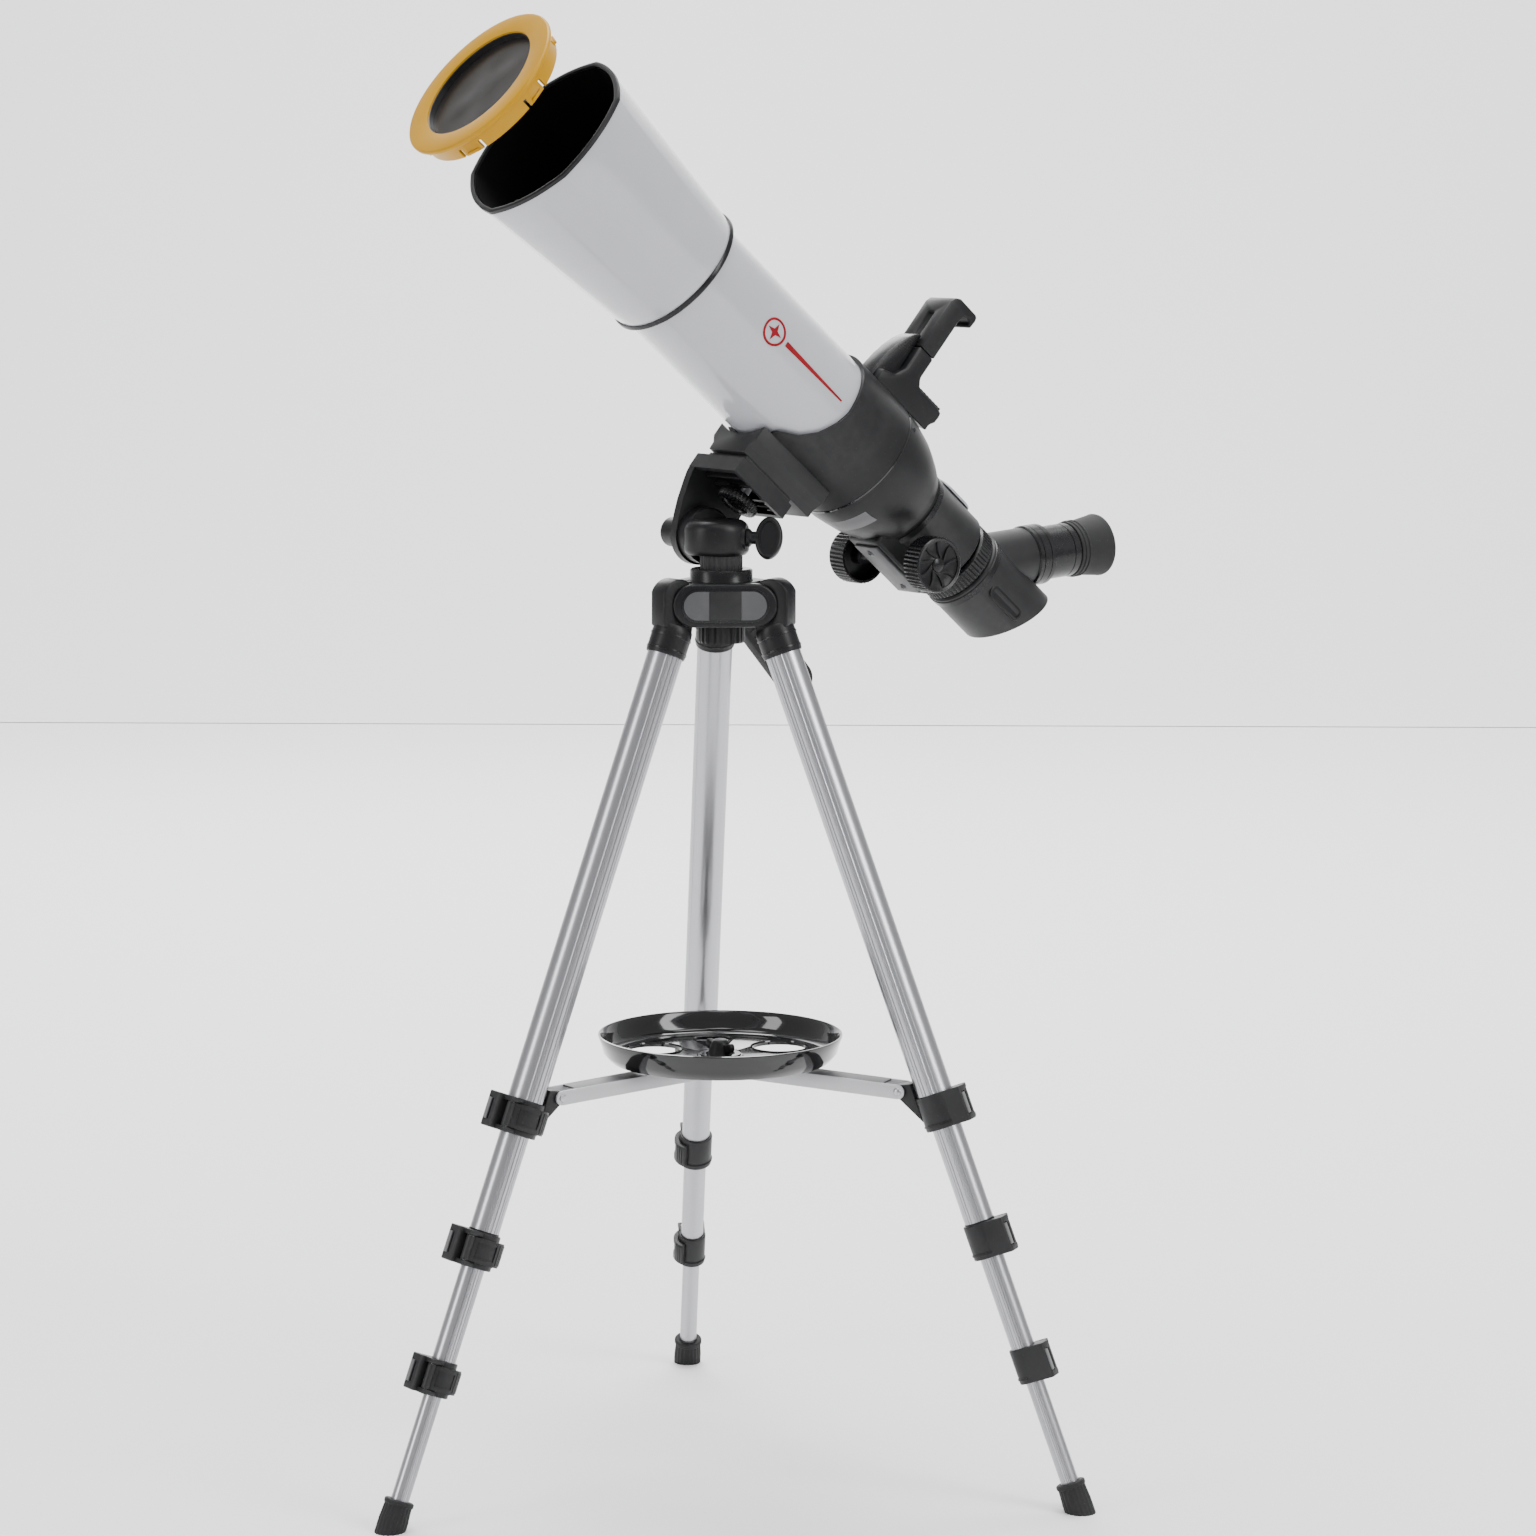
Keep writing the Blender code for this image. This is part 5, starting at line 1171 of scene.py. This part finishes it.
    def camera_screw(self) -> None:
        """Model the captive screw: ribbed wheel, hub and threaded stud."""
        wheel = turned([(0, 26.4), (11.6, 26.4), (12.6, 26), (13, 25.2), (13, 22.1), (12.6, 21.3),
                        (11.6, 20.9), (8, 20.9), (7.6, 21.9), (0, 21.9)], 320)
        ribs(wheel, 32, 0.8, 12.5)
        stud = []
        for i in range(30):
            z = 49.8 - i * 0.8
            stud += [(3.05, z), (2.55, z - 0.4)]
        thread = turned([(0, 50.2), (2.4, 50.2), *stud, (0, 25.8)], 32)
        spot = self.tilt @ shift(0, -4, 0)
        deliver(wheel, "screw_wheel", "camera_screw", SHEEN, ["camera_screw"], spot, 28)
        deliver(thread, "screw_stud", "camera_screw", STEEL, (), spot)

    def handle(self) -> None:
        """Model the pan handle: threaded end, ribbed neck and flattened grip."""
        stem = turned([(0, 3), (3.1, 3), (3.1, 10), (3.6, 10), (3.6, 56), (5.6, 60), (5.6, 66), (0,
                       66)], 40)
        grip = move(slab(pill(80, 22, 16), 13), shift(0, 0, 100) @ turn(90, "Y"))
        soften(grip, 3.4, 4)
        for z in range(80, 128, 5):
            for side in (-1, 1):
                tool = soften(box((6, -8.5, z - 1), (7.5, 8.5, z + 1)), 0.4)
                carve(grip, move(tool, Matrix.Scale(side, 4, (1, 0, 0))))
        spot = self.tilt @ shift(-46, 0, 4.6) @ turn(-8.5, "X")
        place = along(spot, "Y")
        deliver(stem, "handle_stem", "handle", SHEEN, (), place)
        deliver(grip, "handle_grip", "handle", RUBBER, ["handle"], place)

    def build(self) -> None:
        """Model every piece of the head."""
        self.pan_drum()
        self.pan_screw()
        self.bracket()
        self.camera_screw()
        self.handle()


# ---------------------------------------------------------------- stand
@dataclass
class Crown:
    """Central casting with its collar, fluted column and lower nut."""

    stand: Matrix
    low: float = 514.1
    high: float = 539.7
    pivot: float = 530.42

    def build(self) -> None:
        """Model the casting, cheek panels, collar, column and nut."""
        middle = (self.low + self.high) / 2
        casting = bar(21.5, self.low + 0.2, self.high - 0.2, 72)
        for angle in (90, 210, 330):
            cheek = move(slab(pill(62, 25.6, 16), 23), turn(90, "X"))
            soften(cheek, 1.6, 3)
            place = turn(angle, "Z") @ shift(15.5, 0, middle) @ turn(90, "Z")
            casting = join(casting, move(cheek, place))
        for angle in (-90, 30, 150):
            slot = box((21.8, -7.3, self.low - 1), (70, 7.3, self.high + 15))
            hole = move(bar(2.0, -9.3, 9.3, 24), shift(34.5, 0, self.pivot) @ turn(90, "X"))
            carve(casting, move(slot, turn(angle, "Z")), move(hole, turn(angle, "Z")))
        carve(casting, bar(13, self.low - 1, self.high + 10, 64))
        soften(casting, 0.5, 2, 40)
        deliver(casting, "crown_casting", "stand", SATIN, ["crown"], self.stand, 36)
        for angle, name in ((90, "rear"), (210, "left"), (330, "right")):
            place = self.stand @ turn(angle, "Z") @ shift(27, 0, middle) @ turn(90, "Z") @ turn(90,
                "X")
            frame_ring = soften(slab(pill(52, 20, 16), 1.0), 0.4)
            carve(frame_ring, slab(pill(49, 17, 16), 4))
            deliver(frame_ring, f"cheek_frame_{name}", "stand", SHEEN, (), place)
            panel = slab(pill(49, 17, 16), 0.9)
            middle_bar = box((-9.5, -8.5, 0), (9.5, 8.5, 0.9))
            carve(panel, box((-8.9, -12, -1), (8.9, 12, 1)))
            deliver(panel, f"cheek_panel_{name}", "stand", PANEL, (), place)
            deliver(soften(middle_bar, 0.35), f"cheek_middle_{name}", "stand", CHARCOAL, (), place)
        collar = turned([(13.1, 546.8), (17.6, 546.8), (18.6, 545.9), (18.6, 541), (19, 540.2), (19,
                         539.2), (13.1, 539.2)], 96, closed=True)
        deliver(collar, "crown_collar", "stand", SHEEN, (), self.stand)
        post = turned([(12.7, 554.5), (12.7, 504), (10.5, 504), (10.5, 554.5)], 288, closed=True)
        ribs(post, 24, 0.55, 12.5)
        deliver(post, "fluted_column", "stand", CHARCOAL, ["center_post"], self.stand, 28)
        nut = turned([(12.8, 513.8), (14.2, 513.8), (14.2, 504.4), (13.4, 502.8), (10.6, 502.8),
                      (10.6, 504), (12.8, 504.2)], 288, closed=True)
        ribs(nut, 24, 0.6, 14)
        deliver(nut, "column_nut", "stand", SATIN, (), self.stand, 28)


@dataclass
class Leg:
    """One leg: socket, four nested tubes, three cam clamps with levers and a foot."""

    tag: str
    place: Matrix
    offset: float = 6.5
    radii: tuple[float, ...] = (10.6, 8.8, 7.1, 5.4)
    tops: tuple[float, ...] = (306, 386.5, 463.7)
    height: float = 21
    foot_top: float = 547.7

    @property
    def core(self) -> Matrix:
        """Return the frame on the tubes' own axis."""
        return self.place @ shift(-self.offset, 0, 0)

    def bodies(self) -> list[str]:
        """Return the bodies that carry tubes one to four."""
        return [f"{name}_{self.tag}" for name in ("leg", "middle", "lower", "end")]

    def socket(self) -> None:
        """Model the knuckle, its hinge pin and the ribbed sleeve round the tube."""
        knuckle = arc(12, 0, 180, 24) + [(-16.35, -18.5), (4.85, -18.5)]
        piece = soften(move(slab(knuckle, 14), UPRIGHT), 1.2, 3)
        sleeve = turned([(0, -15), (10.8, -15), (11.6, -16.6), (11.85, -19), (11.85, -31.8), (11.5,
                         -33), (0, -33)], 72)
        join(piece, move(sleeve, shift(-self.offset, 0, 0)))
        carve(piece, move(bar(10.9, -40, -19.5, 72), shift(-self.offset, 0, 0)))
        join(piece, move(bar(1.7, -9, 9, 24), turn(90, "X")))
        deliver(piece, f"knuckle_{self.tag}", f"leg_{self.tag}", SATIN, [f"leg_socket_{self.tag}"],
                self.place, 36)
        for z in (-21.5, -30):
            band = turned([(12.1, z + 0.7), (12.25, z), (12.1, z - 0.7), (11.6, z - 0.7), (11.6, z
                           + 0.7)], 72, closed=True)
            deliver(band, f"sleeve_band_{self.tag}_{round(-z)}", f"leg_{self.tag}", SHEEN, (),
                    self.core)

    def tubes(self) -> None:
        """Model the four drawn tubes, each with fine lengthwise flutes on two sides."""
        bottoms = [top + self.height - 3.3 for top in self.tops] + [self.foot_top + 13.7]
        tops = [20.5, 99.8, 155.4, 217.8]
        names = ["upper", "middle", "lower", "end"]
        finish = TUBE.material(self.core, self.tag)
        for radius, top, bottom, body, name in zip(self.radii, tops, bottoms, self.bodies(), names):
            wall = radius - 1.2
            tube = turned([(radius, -top), (radius, -bottom), (wall, -bottom), (wall, -top)], 360,
                          closed=True)
            tube = reshape(tube, lambda spot, outside=radius: self.fluted(spot, outside))
            deliver(tube, f"{name}_tube_drawn_{self.tag}", body, TUBE, [f"{name}_tube_{self.tag}"],
                    self.core, 20, finish)

    def fluted(self, spot: Vector, outside: float) -> Vector:
        """Press three narrow grooves into each side of a tube's wall.

        Args:
            spot: A place on the wall.
            outside: The tube's outer radius.

        Returns:
            The place, pressed in.
        """
        reach = math.hypot(spot.x, spot.y)
        if reach < outside - 0.3:
            return spot
        angle = math.degrees(math.atan2(spot.y, spot.x)) % 180
        depth = 0.0
        for groove in (58, 70, 82, 98, 110, 122):
            depth = max(depth, 1 - abs(angle - groove) / 2.2)
        scale = 1 - max(0.0, depth) * 0.3 / reach
        return Vector((spot.x * scale, spot.y * scale, spot.z))

    def clamp(self, index: int) -> None:
        """Model one cam clamp with its lever, pin and latch block.

        Args:
            index: The clamp's number, from nought at the top.
        """
        radius, inner = self.radii[index], self.radii[index + 1]
        ring, half = radius + 1.6, self.height / 2
        body = self.bodies()[index]
        number = index + 1
        place = self.core @ shift(0, 0, -self.tops[index] - half)
        first = math.degrees(math.asin(1.5 / ring))
        last = 360 - math.degrees(math.asin(min(9 / ring, 0.98)))
        outline = arc(ring, first, last, 48) + [(ring + 6.8, -9), (ring + 7.8, -8), (ring + 7.8,
            0.5), (ring + 6.8, 1.5)]
        collar = soften(slab(outline, self.height), 0.8, 3, 40)
        hinge = ((ring + 2.9) * math.cos(math.radians(28)), (ring + 2.9)
                 * math.sin(math.radians(28)))
        for side in (-1, 1):
            low, high = sorted((side * half, side * (half - 3)))
            ear = box((hinge[0] - 6, 0, low), (hinge[0] + 3, hinge[1] + 3, high))
            join(collar, soften(ear, 0.7, 2))
        if index == 0:
            join(collar, self.lug())
        bore = turned([(0, half + 1), (radius + 0.3, half + 1), (radius + 0.3, 3 - half), (inner
                       + 0.3, 3 - half), (inner + 0.3, -half - 1), (0, -half - 1)], 64)
        slot = box((ring - 2, -3.4, -6.2), (ring + 9, -2.2, 6.2))
        pocket = box((ring + 6.9, -8, -7), (ring + 9, -4, 7))
        carve(collar, bore, slot, pocket)
        carve(collar, move(bar(1.6, -12, 12, 24), shift(hinge[0], hinge[1], 0)))
        deliver(collar, f"clamp_body_{number}_{self.tag}", body, CHARCOAL,
                [f"clamp_{number}_{self.tag}"], place)
        latch = soften(box((ring + 6.2, -7.6, -6.4), (ring + 8.1, -4.4, 6.4)), 0.4)
        deliver(latch, f"latch_{number}_{self.tag}", body, LATCH, (), place)
        lip = turned([(ring + 0.5, 3.6 - half), (ring + 0.5, 2.6 - half), (ring - 0.6, 2.6 - half),
                      (ring - 0.6, 3.6 - half)], 72, closed=True)
        carve(lip, box((0, -9.5, -half), (30, 9, half)))
        deliver(lip, f"clamp_lip_{number}_{self.tag}", body, SATIN, (), place)
        self.lever(number, ring, hinge, place)

    def lug(self) -> bpy.types.Object:
        """Model the ear on the first clamp that holds a spreader arm.

        Returns:
            The ear, in the clamp's frame.
        """
        half = self.height / 2
        pivot = (-19.5, 7.3 + half)
        tip = arc(3.8, 80, 235, 16, pivot)
        wall = -self.radii[0] - 0.5
        outline = tip + [(wall, half - self.height * 0.7), (wall, pivot[1] + 2)]
        return soften(move(slab(outline, 11), UPRIGHT), 0.6, 2)

    def lever(self, number: int, ring: float, hinge: Point, place: Matrix) -> None:
        """Model the curved cam lever with its hinge barrel and finger ridges.

        Args:
            number: The clamp's number, from one at the top.
            ring: The clamp ring's outer radius.
            hinge: The lever pin's place across the clamp.
            place: The clamp's frame.
        """
        inner, outer = ring + 0.3, ring + 3.3
        shell = arc(outer, 28, 142, 36) + arc(outer - 0.7, 145, 145.9, 1) + arc(inner, 146, 28, 36)
        lever = soften(slab(shell, 14.4), 0.6, 2)
        for angle in (116, 124, 132, 140):
            ridge = soften(box((outer - 0.8, -0.8, -6.2), (outer + 0.35, 0.8, 6.2)), 0.3)
            lever = join(lever, move(ridge, turn(angle, "Z")))
        panel = arc(outer + 1, 50, 104, 18) + arc(outer - 0.5, 104, 50, 18)
        carve(lever, slab(panel, 9))
        barrel = move(bar(2.6, -7.2, 7.2, 32), shift(hinge[0], hinge[1], 0))
        lever = join(lever, barrel)
        deliver(lever, f"lever_shell_{number}_{self.tag}", f"lever_{number}_{self.tag}", CHARCOAL,
                [f"lever_{number}_{self.tag}"], place)
        pin = move(bar(1.3, -10.2, 10.2, 24), shift(hinge[0], hinge[1], 0))
        deliver(soften(pin, 0.3), f"lever_pin_{number}_{self.tag}", f"lever_{number}_{self.tag}",
                STEEL, (), place)

    def foot(self) -> None:
        """Model the rubber foot, cut level with the floor."""
        top = self.foot_top
        piece = turned([(0, -top - 14), (5.7, -top - 14), (5.7, -top), (8.0, -top), (8.8, -top
                        - 0.6), (8.8, -top - 2.4), (8.2, -top - 3.4), (8.4, -top - 7), (8.8, -top
                        - 12), (8.7, -top - 27), (0, -top - 27)], 240)
        ribs(piece, 20, 0.35, 8.15, lambda spot: spot.z < -top - 3)
        spot = self.core.translation
        floor = move(box((-500, -500, -200), (500, 500, 0)), self.core.inverted()
                     @ Matrix.Translation((spot.x, spot.y, 0)))
        carve(piece, floor)
        deliver(piece, f"rubber_foot_{self.tag}", f"end_{self.tag}", RUBBER, [f"foot_{self.tag}"],
                self.core, 28)

    def build(self) -> None:
        """Model every piece of the leg."""
        self.socket()
        self.tubes()
        for index in range(3):
            self.clamp(index)
        self.foot()


@dataclass
class Spreader:
    """Three channel arms, the accessory tray over them and its wing screw."""

    stand: Matrix
    inner_radius: float = 19
    inner_height: float = 246.13
    outer_radius: float = 118.28
    outer_height: float = 242.53
    floor: float = 251.33

    def arm(self, tag: str, angle: float) -> None:
        """Model one inverted channel with its web, round ends and rivets; the web's darker grey is
        painted shade.

        Args:
            tag: The leg that it reaches to.
            angle: Its direction seen from above, in degrees.
        """
        length = math.hypot(self.outer_radius - self.inner_radius, self.inner_height
                            - self.outer_height)
        droop = math.degrees(math.asin((self.inner_height - self.outer_height) / length))
        place = (self.stand @ turn(angle, "Z") @ shift(self.inner_radius, 0, self.inner_height)
                 @ turn(droop, "Y"))
        body = f"arm_{tag}"
        outline = pill(length + 8.6, 8.6, 12)
        flanges = []
        for side in (-1, 1):
            flange = soften(slab(outline, 1.3), 0.3)
            flanges.append(move(flange, shift(length / 2, side * 7.35, 0) @ UPRIGHT))
        web = soften(box((10, -7.9, 3), (length - 10, 7.9, 4.3)), 0.3)
        channel = merge(flanges[0], flanges[1])
        deliver(channel, f"arm_flanges_{tag}", body, SHEET, [f"spreader_arm_{tag}"], place, 34,
                SHEET.material(along(place, "X"), tag))
        # The web takes a darker grey than the flanges as painted shade, not as a different metal.
        deliver(web, f"arm_web_{tag}", body, SHADED_WEB, (), place)
        for x, end in ((0, "inner"), (length, "outer")):
            pin = bar(1.6, 6.0 if end == "outer" else -7.6, 7.8, 24)
            rivet = turned([(0, 9.2), (1.4, 9.0), (2.4, 8.3), (2.6, 7.9), (0, 7.9)], 32)
            deliver(merge(pin, rivet), f"rivet_{end}_{tag}", body, STEEL, (), place @ shift(x, 0, 0)
                    @ turn(90, "X"))
            back = turned([(0, 9.0), (2.0, 8.7), (2.5, 7.9), (0, 7.9)], 32)
            deliver(back, f"rivet_back_{end}_{tag}", body, STEEL, (), place @ shift(x, 0, 0)
                    @ turn(-90, "X"))

    def tray(self) -> None:
        """Model the tray: rolled rim, stepped floor, cup holes, vents and hub."""
        floor, wall = self.floor, 1.8
        top = floor + 15.5
        profile = [(0, floor + wall + 0.6), (13.4, floor + wall + 0.6), (14, floor + wall), (63,
                   floor + wall), (66.4, floor + 3.4), (68.6, floor + 5.9), (69.8, floor + 10.5),
                   (71.4, top - 1), (72.4, top), (73.3, top - 0.2), (73.5, top - 1), (71.9, floor
                   + 10.3), (70.5, floor + 5), (67.6, floor + 1.4), (66, floor), (0, floor)]
        tray = turned(profile, 160)
        hub = turned([(0, floor + 1), (10.5, floor + 1), (10.5, 241.8), (0, 241.8)], 64)
        for angle in (-90, 30, 150):
            lug = box((0, -4, 241.8), (22.9, 4, floor + 1))
            join(hub, move(soften(lug, 0.6, 2), turn(angle, "Z")))
        join(tray, hub)
        for angle in (-90, 30, 150):
            vent = move(slab(pill(24, 12, 14), 8), turn(angle, "Z") @ shift(52, 0, floor) @ turn(90,
                        "Z"))
            pin = move(bar(1.9, -8, 8, 24), shift(19, 0, self.inner_height) @ turn(90, "X"))
            carve(tray, vent, move(pin, turn(angle, "Z")))
        for angle in (90, 210, 330):
            hole = bar(16.5, floor - 4, floor + 4, 72)
            carve(tray, move(hole, turn(angle, "Z") @ shift(44, 0, 0)))
        carve(tray, bar(3.4, 240, floor + 4, 32))
        soften(tray, 0.35, 2, 45)
        deliver(tray, "accessory_tray", "hub", GLOSS, ["tray"], self.stand, 36)
        for angle in (90, 210, 330):
            bead = turned([(17.9, floor + 1.7), (17.7, floor + 2.6), (17.0, floor + 2.6), (16.6,
                           floor + 1.7)], 80, closed=True)
            deliver(bead, f"cup_bead_{angle}", "hub", GLOSS, (), self.stand @ turn(angle, "Z")
                    @ shift(44, 0, 0))
        step = turned([(12.6, floor + 2.2), (12.2, floor + 3.2), (8.8, floor + 3.2), (8.6, floor
                       + 2.2)], 72, closed=True)
        deliver(step, "tray_step", "hub", GLOSS, (), self.stand)

    def knob(self) -> None:
        """Model the wing screw at the tray's centre."""
        seat = self.floor + 2.7
        base = turned([(0, seat + 9), (3.6, seat + 9), (4.6, seat + 8.4), (5.4, seat + 7), (6.4,
                       seat + 4), (7.2, seat + 1.4), (8, seat), (3.1, seat), (3.1,
                       self.inner_height), (0, self.inner_height)], 72)
        wing = [(4, 1), (9, 1.2), (12, 2.6), (13, 5), (12.4, 7.4), (10.4, 8), (7.4, 6.6), (4, 6.2)]
        outline = [(x, seat + z) for x, z in wing]
        outline += [(-x, z) for x, z in reversed(outline)]
        blade = soften(move(slab(outline, 3.6), UPRIGHT), 0.9, 3)
        deliver(join(base, blade), "wing_screw", "tray_knob", SATIN, ["tray_knob"], self.stand)

    def build(self) -> None:
        """Model the spreader."""
        for tag, angle in (("front", -90.0), ("right", 30.0), ("left", 150.0)):
            self.arm(tag, angle)
        self.tray()
        self.knob()


# ---------------------------------------------------------------- studio
@dataclass
class Studio:
    """Pale floor, soft lights and the camera."""

    eye: tuple[float, float, float] = (2.1225, -1.5258, 0.779)
    azimuth: float = 144.1
    pitch: float = -7.7
    roll: float = 0.19
    lens: float = 103.2
    sky: Colour = (0.97, 0.97, 0.98)

    def floor(self) -> None:
        """Lay the plain floor and sweep it up into a backdrop behind the object."""
        deselect()
        bpy.ops.mesh.primitive_plane_add(size=14, location=(0, 0, 0))
        ground = bpy.context.object
        ground.name = "floor"
        made = bpy.data.materials.new("floor_pale")
        made.use_nodes = True
        shader = made.node_tree.nodes["Principled BSDF"]
        shader.inputs["Base Color"].default_value = (0.9, 0.9, 0.9, 1)
        shader.inputs["Roughness"].default_value = 0.9
        ground.data.materials.append(made)
        radius, reach = 1600, 5200
        curve = [(x, 0, z) for x, z in arc(radius, -90, 0, 24, (reach - radius, radius + 1))]
        sweep = chain(curve + [(reach, 0, 7000)])
        bpy.ops.mesh.extrude_region_move(TRANSFORM_OT_translate={"value": (0, 14, 0)})
        bpy.ops.object.mode_set(mode="OBJECT")
        move(sweep, turn(self.azimuth, "Z") @ shift(0, -7000, 0))
        sweep.name = "backdrop"
        sweep.data.materials.append(made)
        pick(sweep)
        bpy.ops.object.shade_smooth_by_angle(angle=math.radians(40))

    def light(self, name: str, spot: Sequence[float], aim: Sequence[float],
              size: tuple[float, float], power: float) -> None:
        """Hang one soft light.

        Args:
            name: The light's name.
            spot: Where it hangs.
            aim: What it points at.
            size: Width and height.
            power: Watts.
        """
        deselect()
        bpy.ops.object.light_add(type="AREA", location=spot)
        lamp = bpy.context.object
        lamp.name = name
        lamp.data.shape = "RECTANGLE"
        lamp.data.size, lamp.data.size_y = size
        lamp.data.energy = power
        lamp.rotation_euler = (Vector(aim) - Vector(spot)).to_track_quat("-Z", "Y").to_euler()

    def camera(self) -> None:
        """Set the camera."""
        deselect()
        bpy.ops.object.camera_add(location=self.eye)
        camera = bpy.context.object
        camera.name = "camera"
        turns, fall = math.radians(self.azimuth), math.radians(self.pitch)
        aim = Vector((math.cos(turns) * math.cos(fall), math.sin(turns) * math.cos(fall),
                      math.sin(fall)))
        place = aim.to_track_quat("-Z", "Y").to_matrix().to_4x4() @ turn(self.roll, "Z")
        camera.rotation_euler = place.to_euler()
        camera.data.sensor_width = 36
        camera.data.lens = self.lens
        bpy.context.scene.camera = camera

    def world(self) -> None:
        """Light the room with an even, pale sky."""
        world = bpy.data.worlds.new("studio")
        world.use_nodes = True
        world.node_tree.nodes["Background"].inputs["Color"].default_value = (*self.sky, 1)
        world.node_tree.nodes["Background"].inputs["Strength"].default_value = 0.55
        bpy.context.scene.world = world

    def build(self) -> None:
        """Set up the whole studio."""
        self.floor()
        self.light("key", (2.4, 0.9, 2.0), (0, 0, 0.6), (1.0, 2.2), 60)
        self.light("fill", (-0.2, -2.8, 1.3), (0, 0, 0.5), (0.8, 2.2), 34)
        self.light("top", (0.2, 0.0, 3.0), (0, 0, 0), (2.2, 2.2), 60)
        self.light("back", (-2.6, 1.2, 1.8), (0, 0, 0.5), (1.4, 1.6), 26)
        self.light("sweep", (-1.6, 1.2, 4.2), (-4.0, 2.9, 0.4), (3.0, 3.0), 330)
        self.camera()
        self.world()


def main() -> None:
    """Build everything."""
    logging.basicConfig(level=logging.INFO, format="%(message)s")
    stand, tilt = stand_frame(), tilt_frame()
    scope = tilt @ shift(0, 0, 97)
    branch = scope @ shift(0, 154, 0) @ turn(-45, "X")
    Telescope(scope).build()
    SolarCap(scope).build()
    Focuser(scope, scope @ shift(0, 111, -28), branch).build()
    Head(stand, tilt).build()
    Crown(stand).build()
    for tag in ("front", "right", "left"):
        Leg(tag, leg_frame(tag)).build()
    Spreader(stand).build()
    Studio().build()


if __name__ == "__main__":
    main()
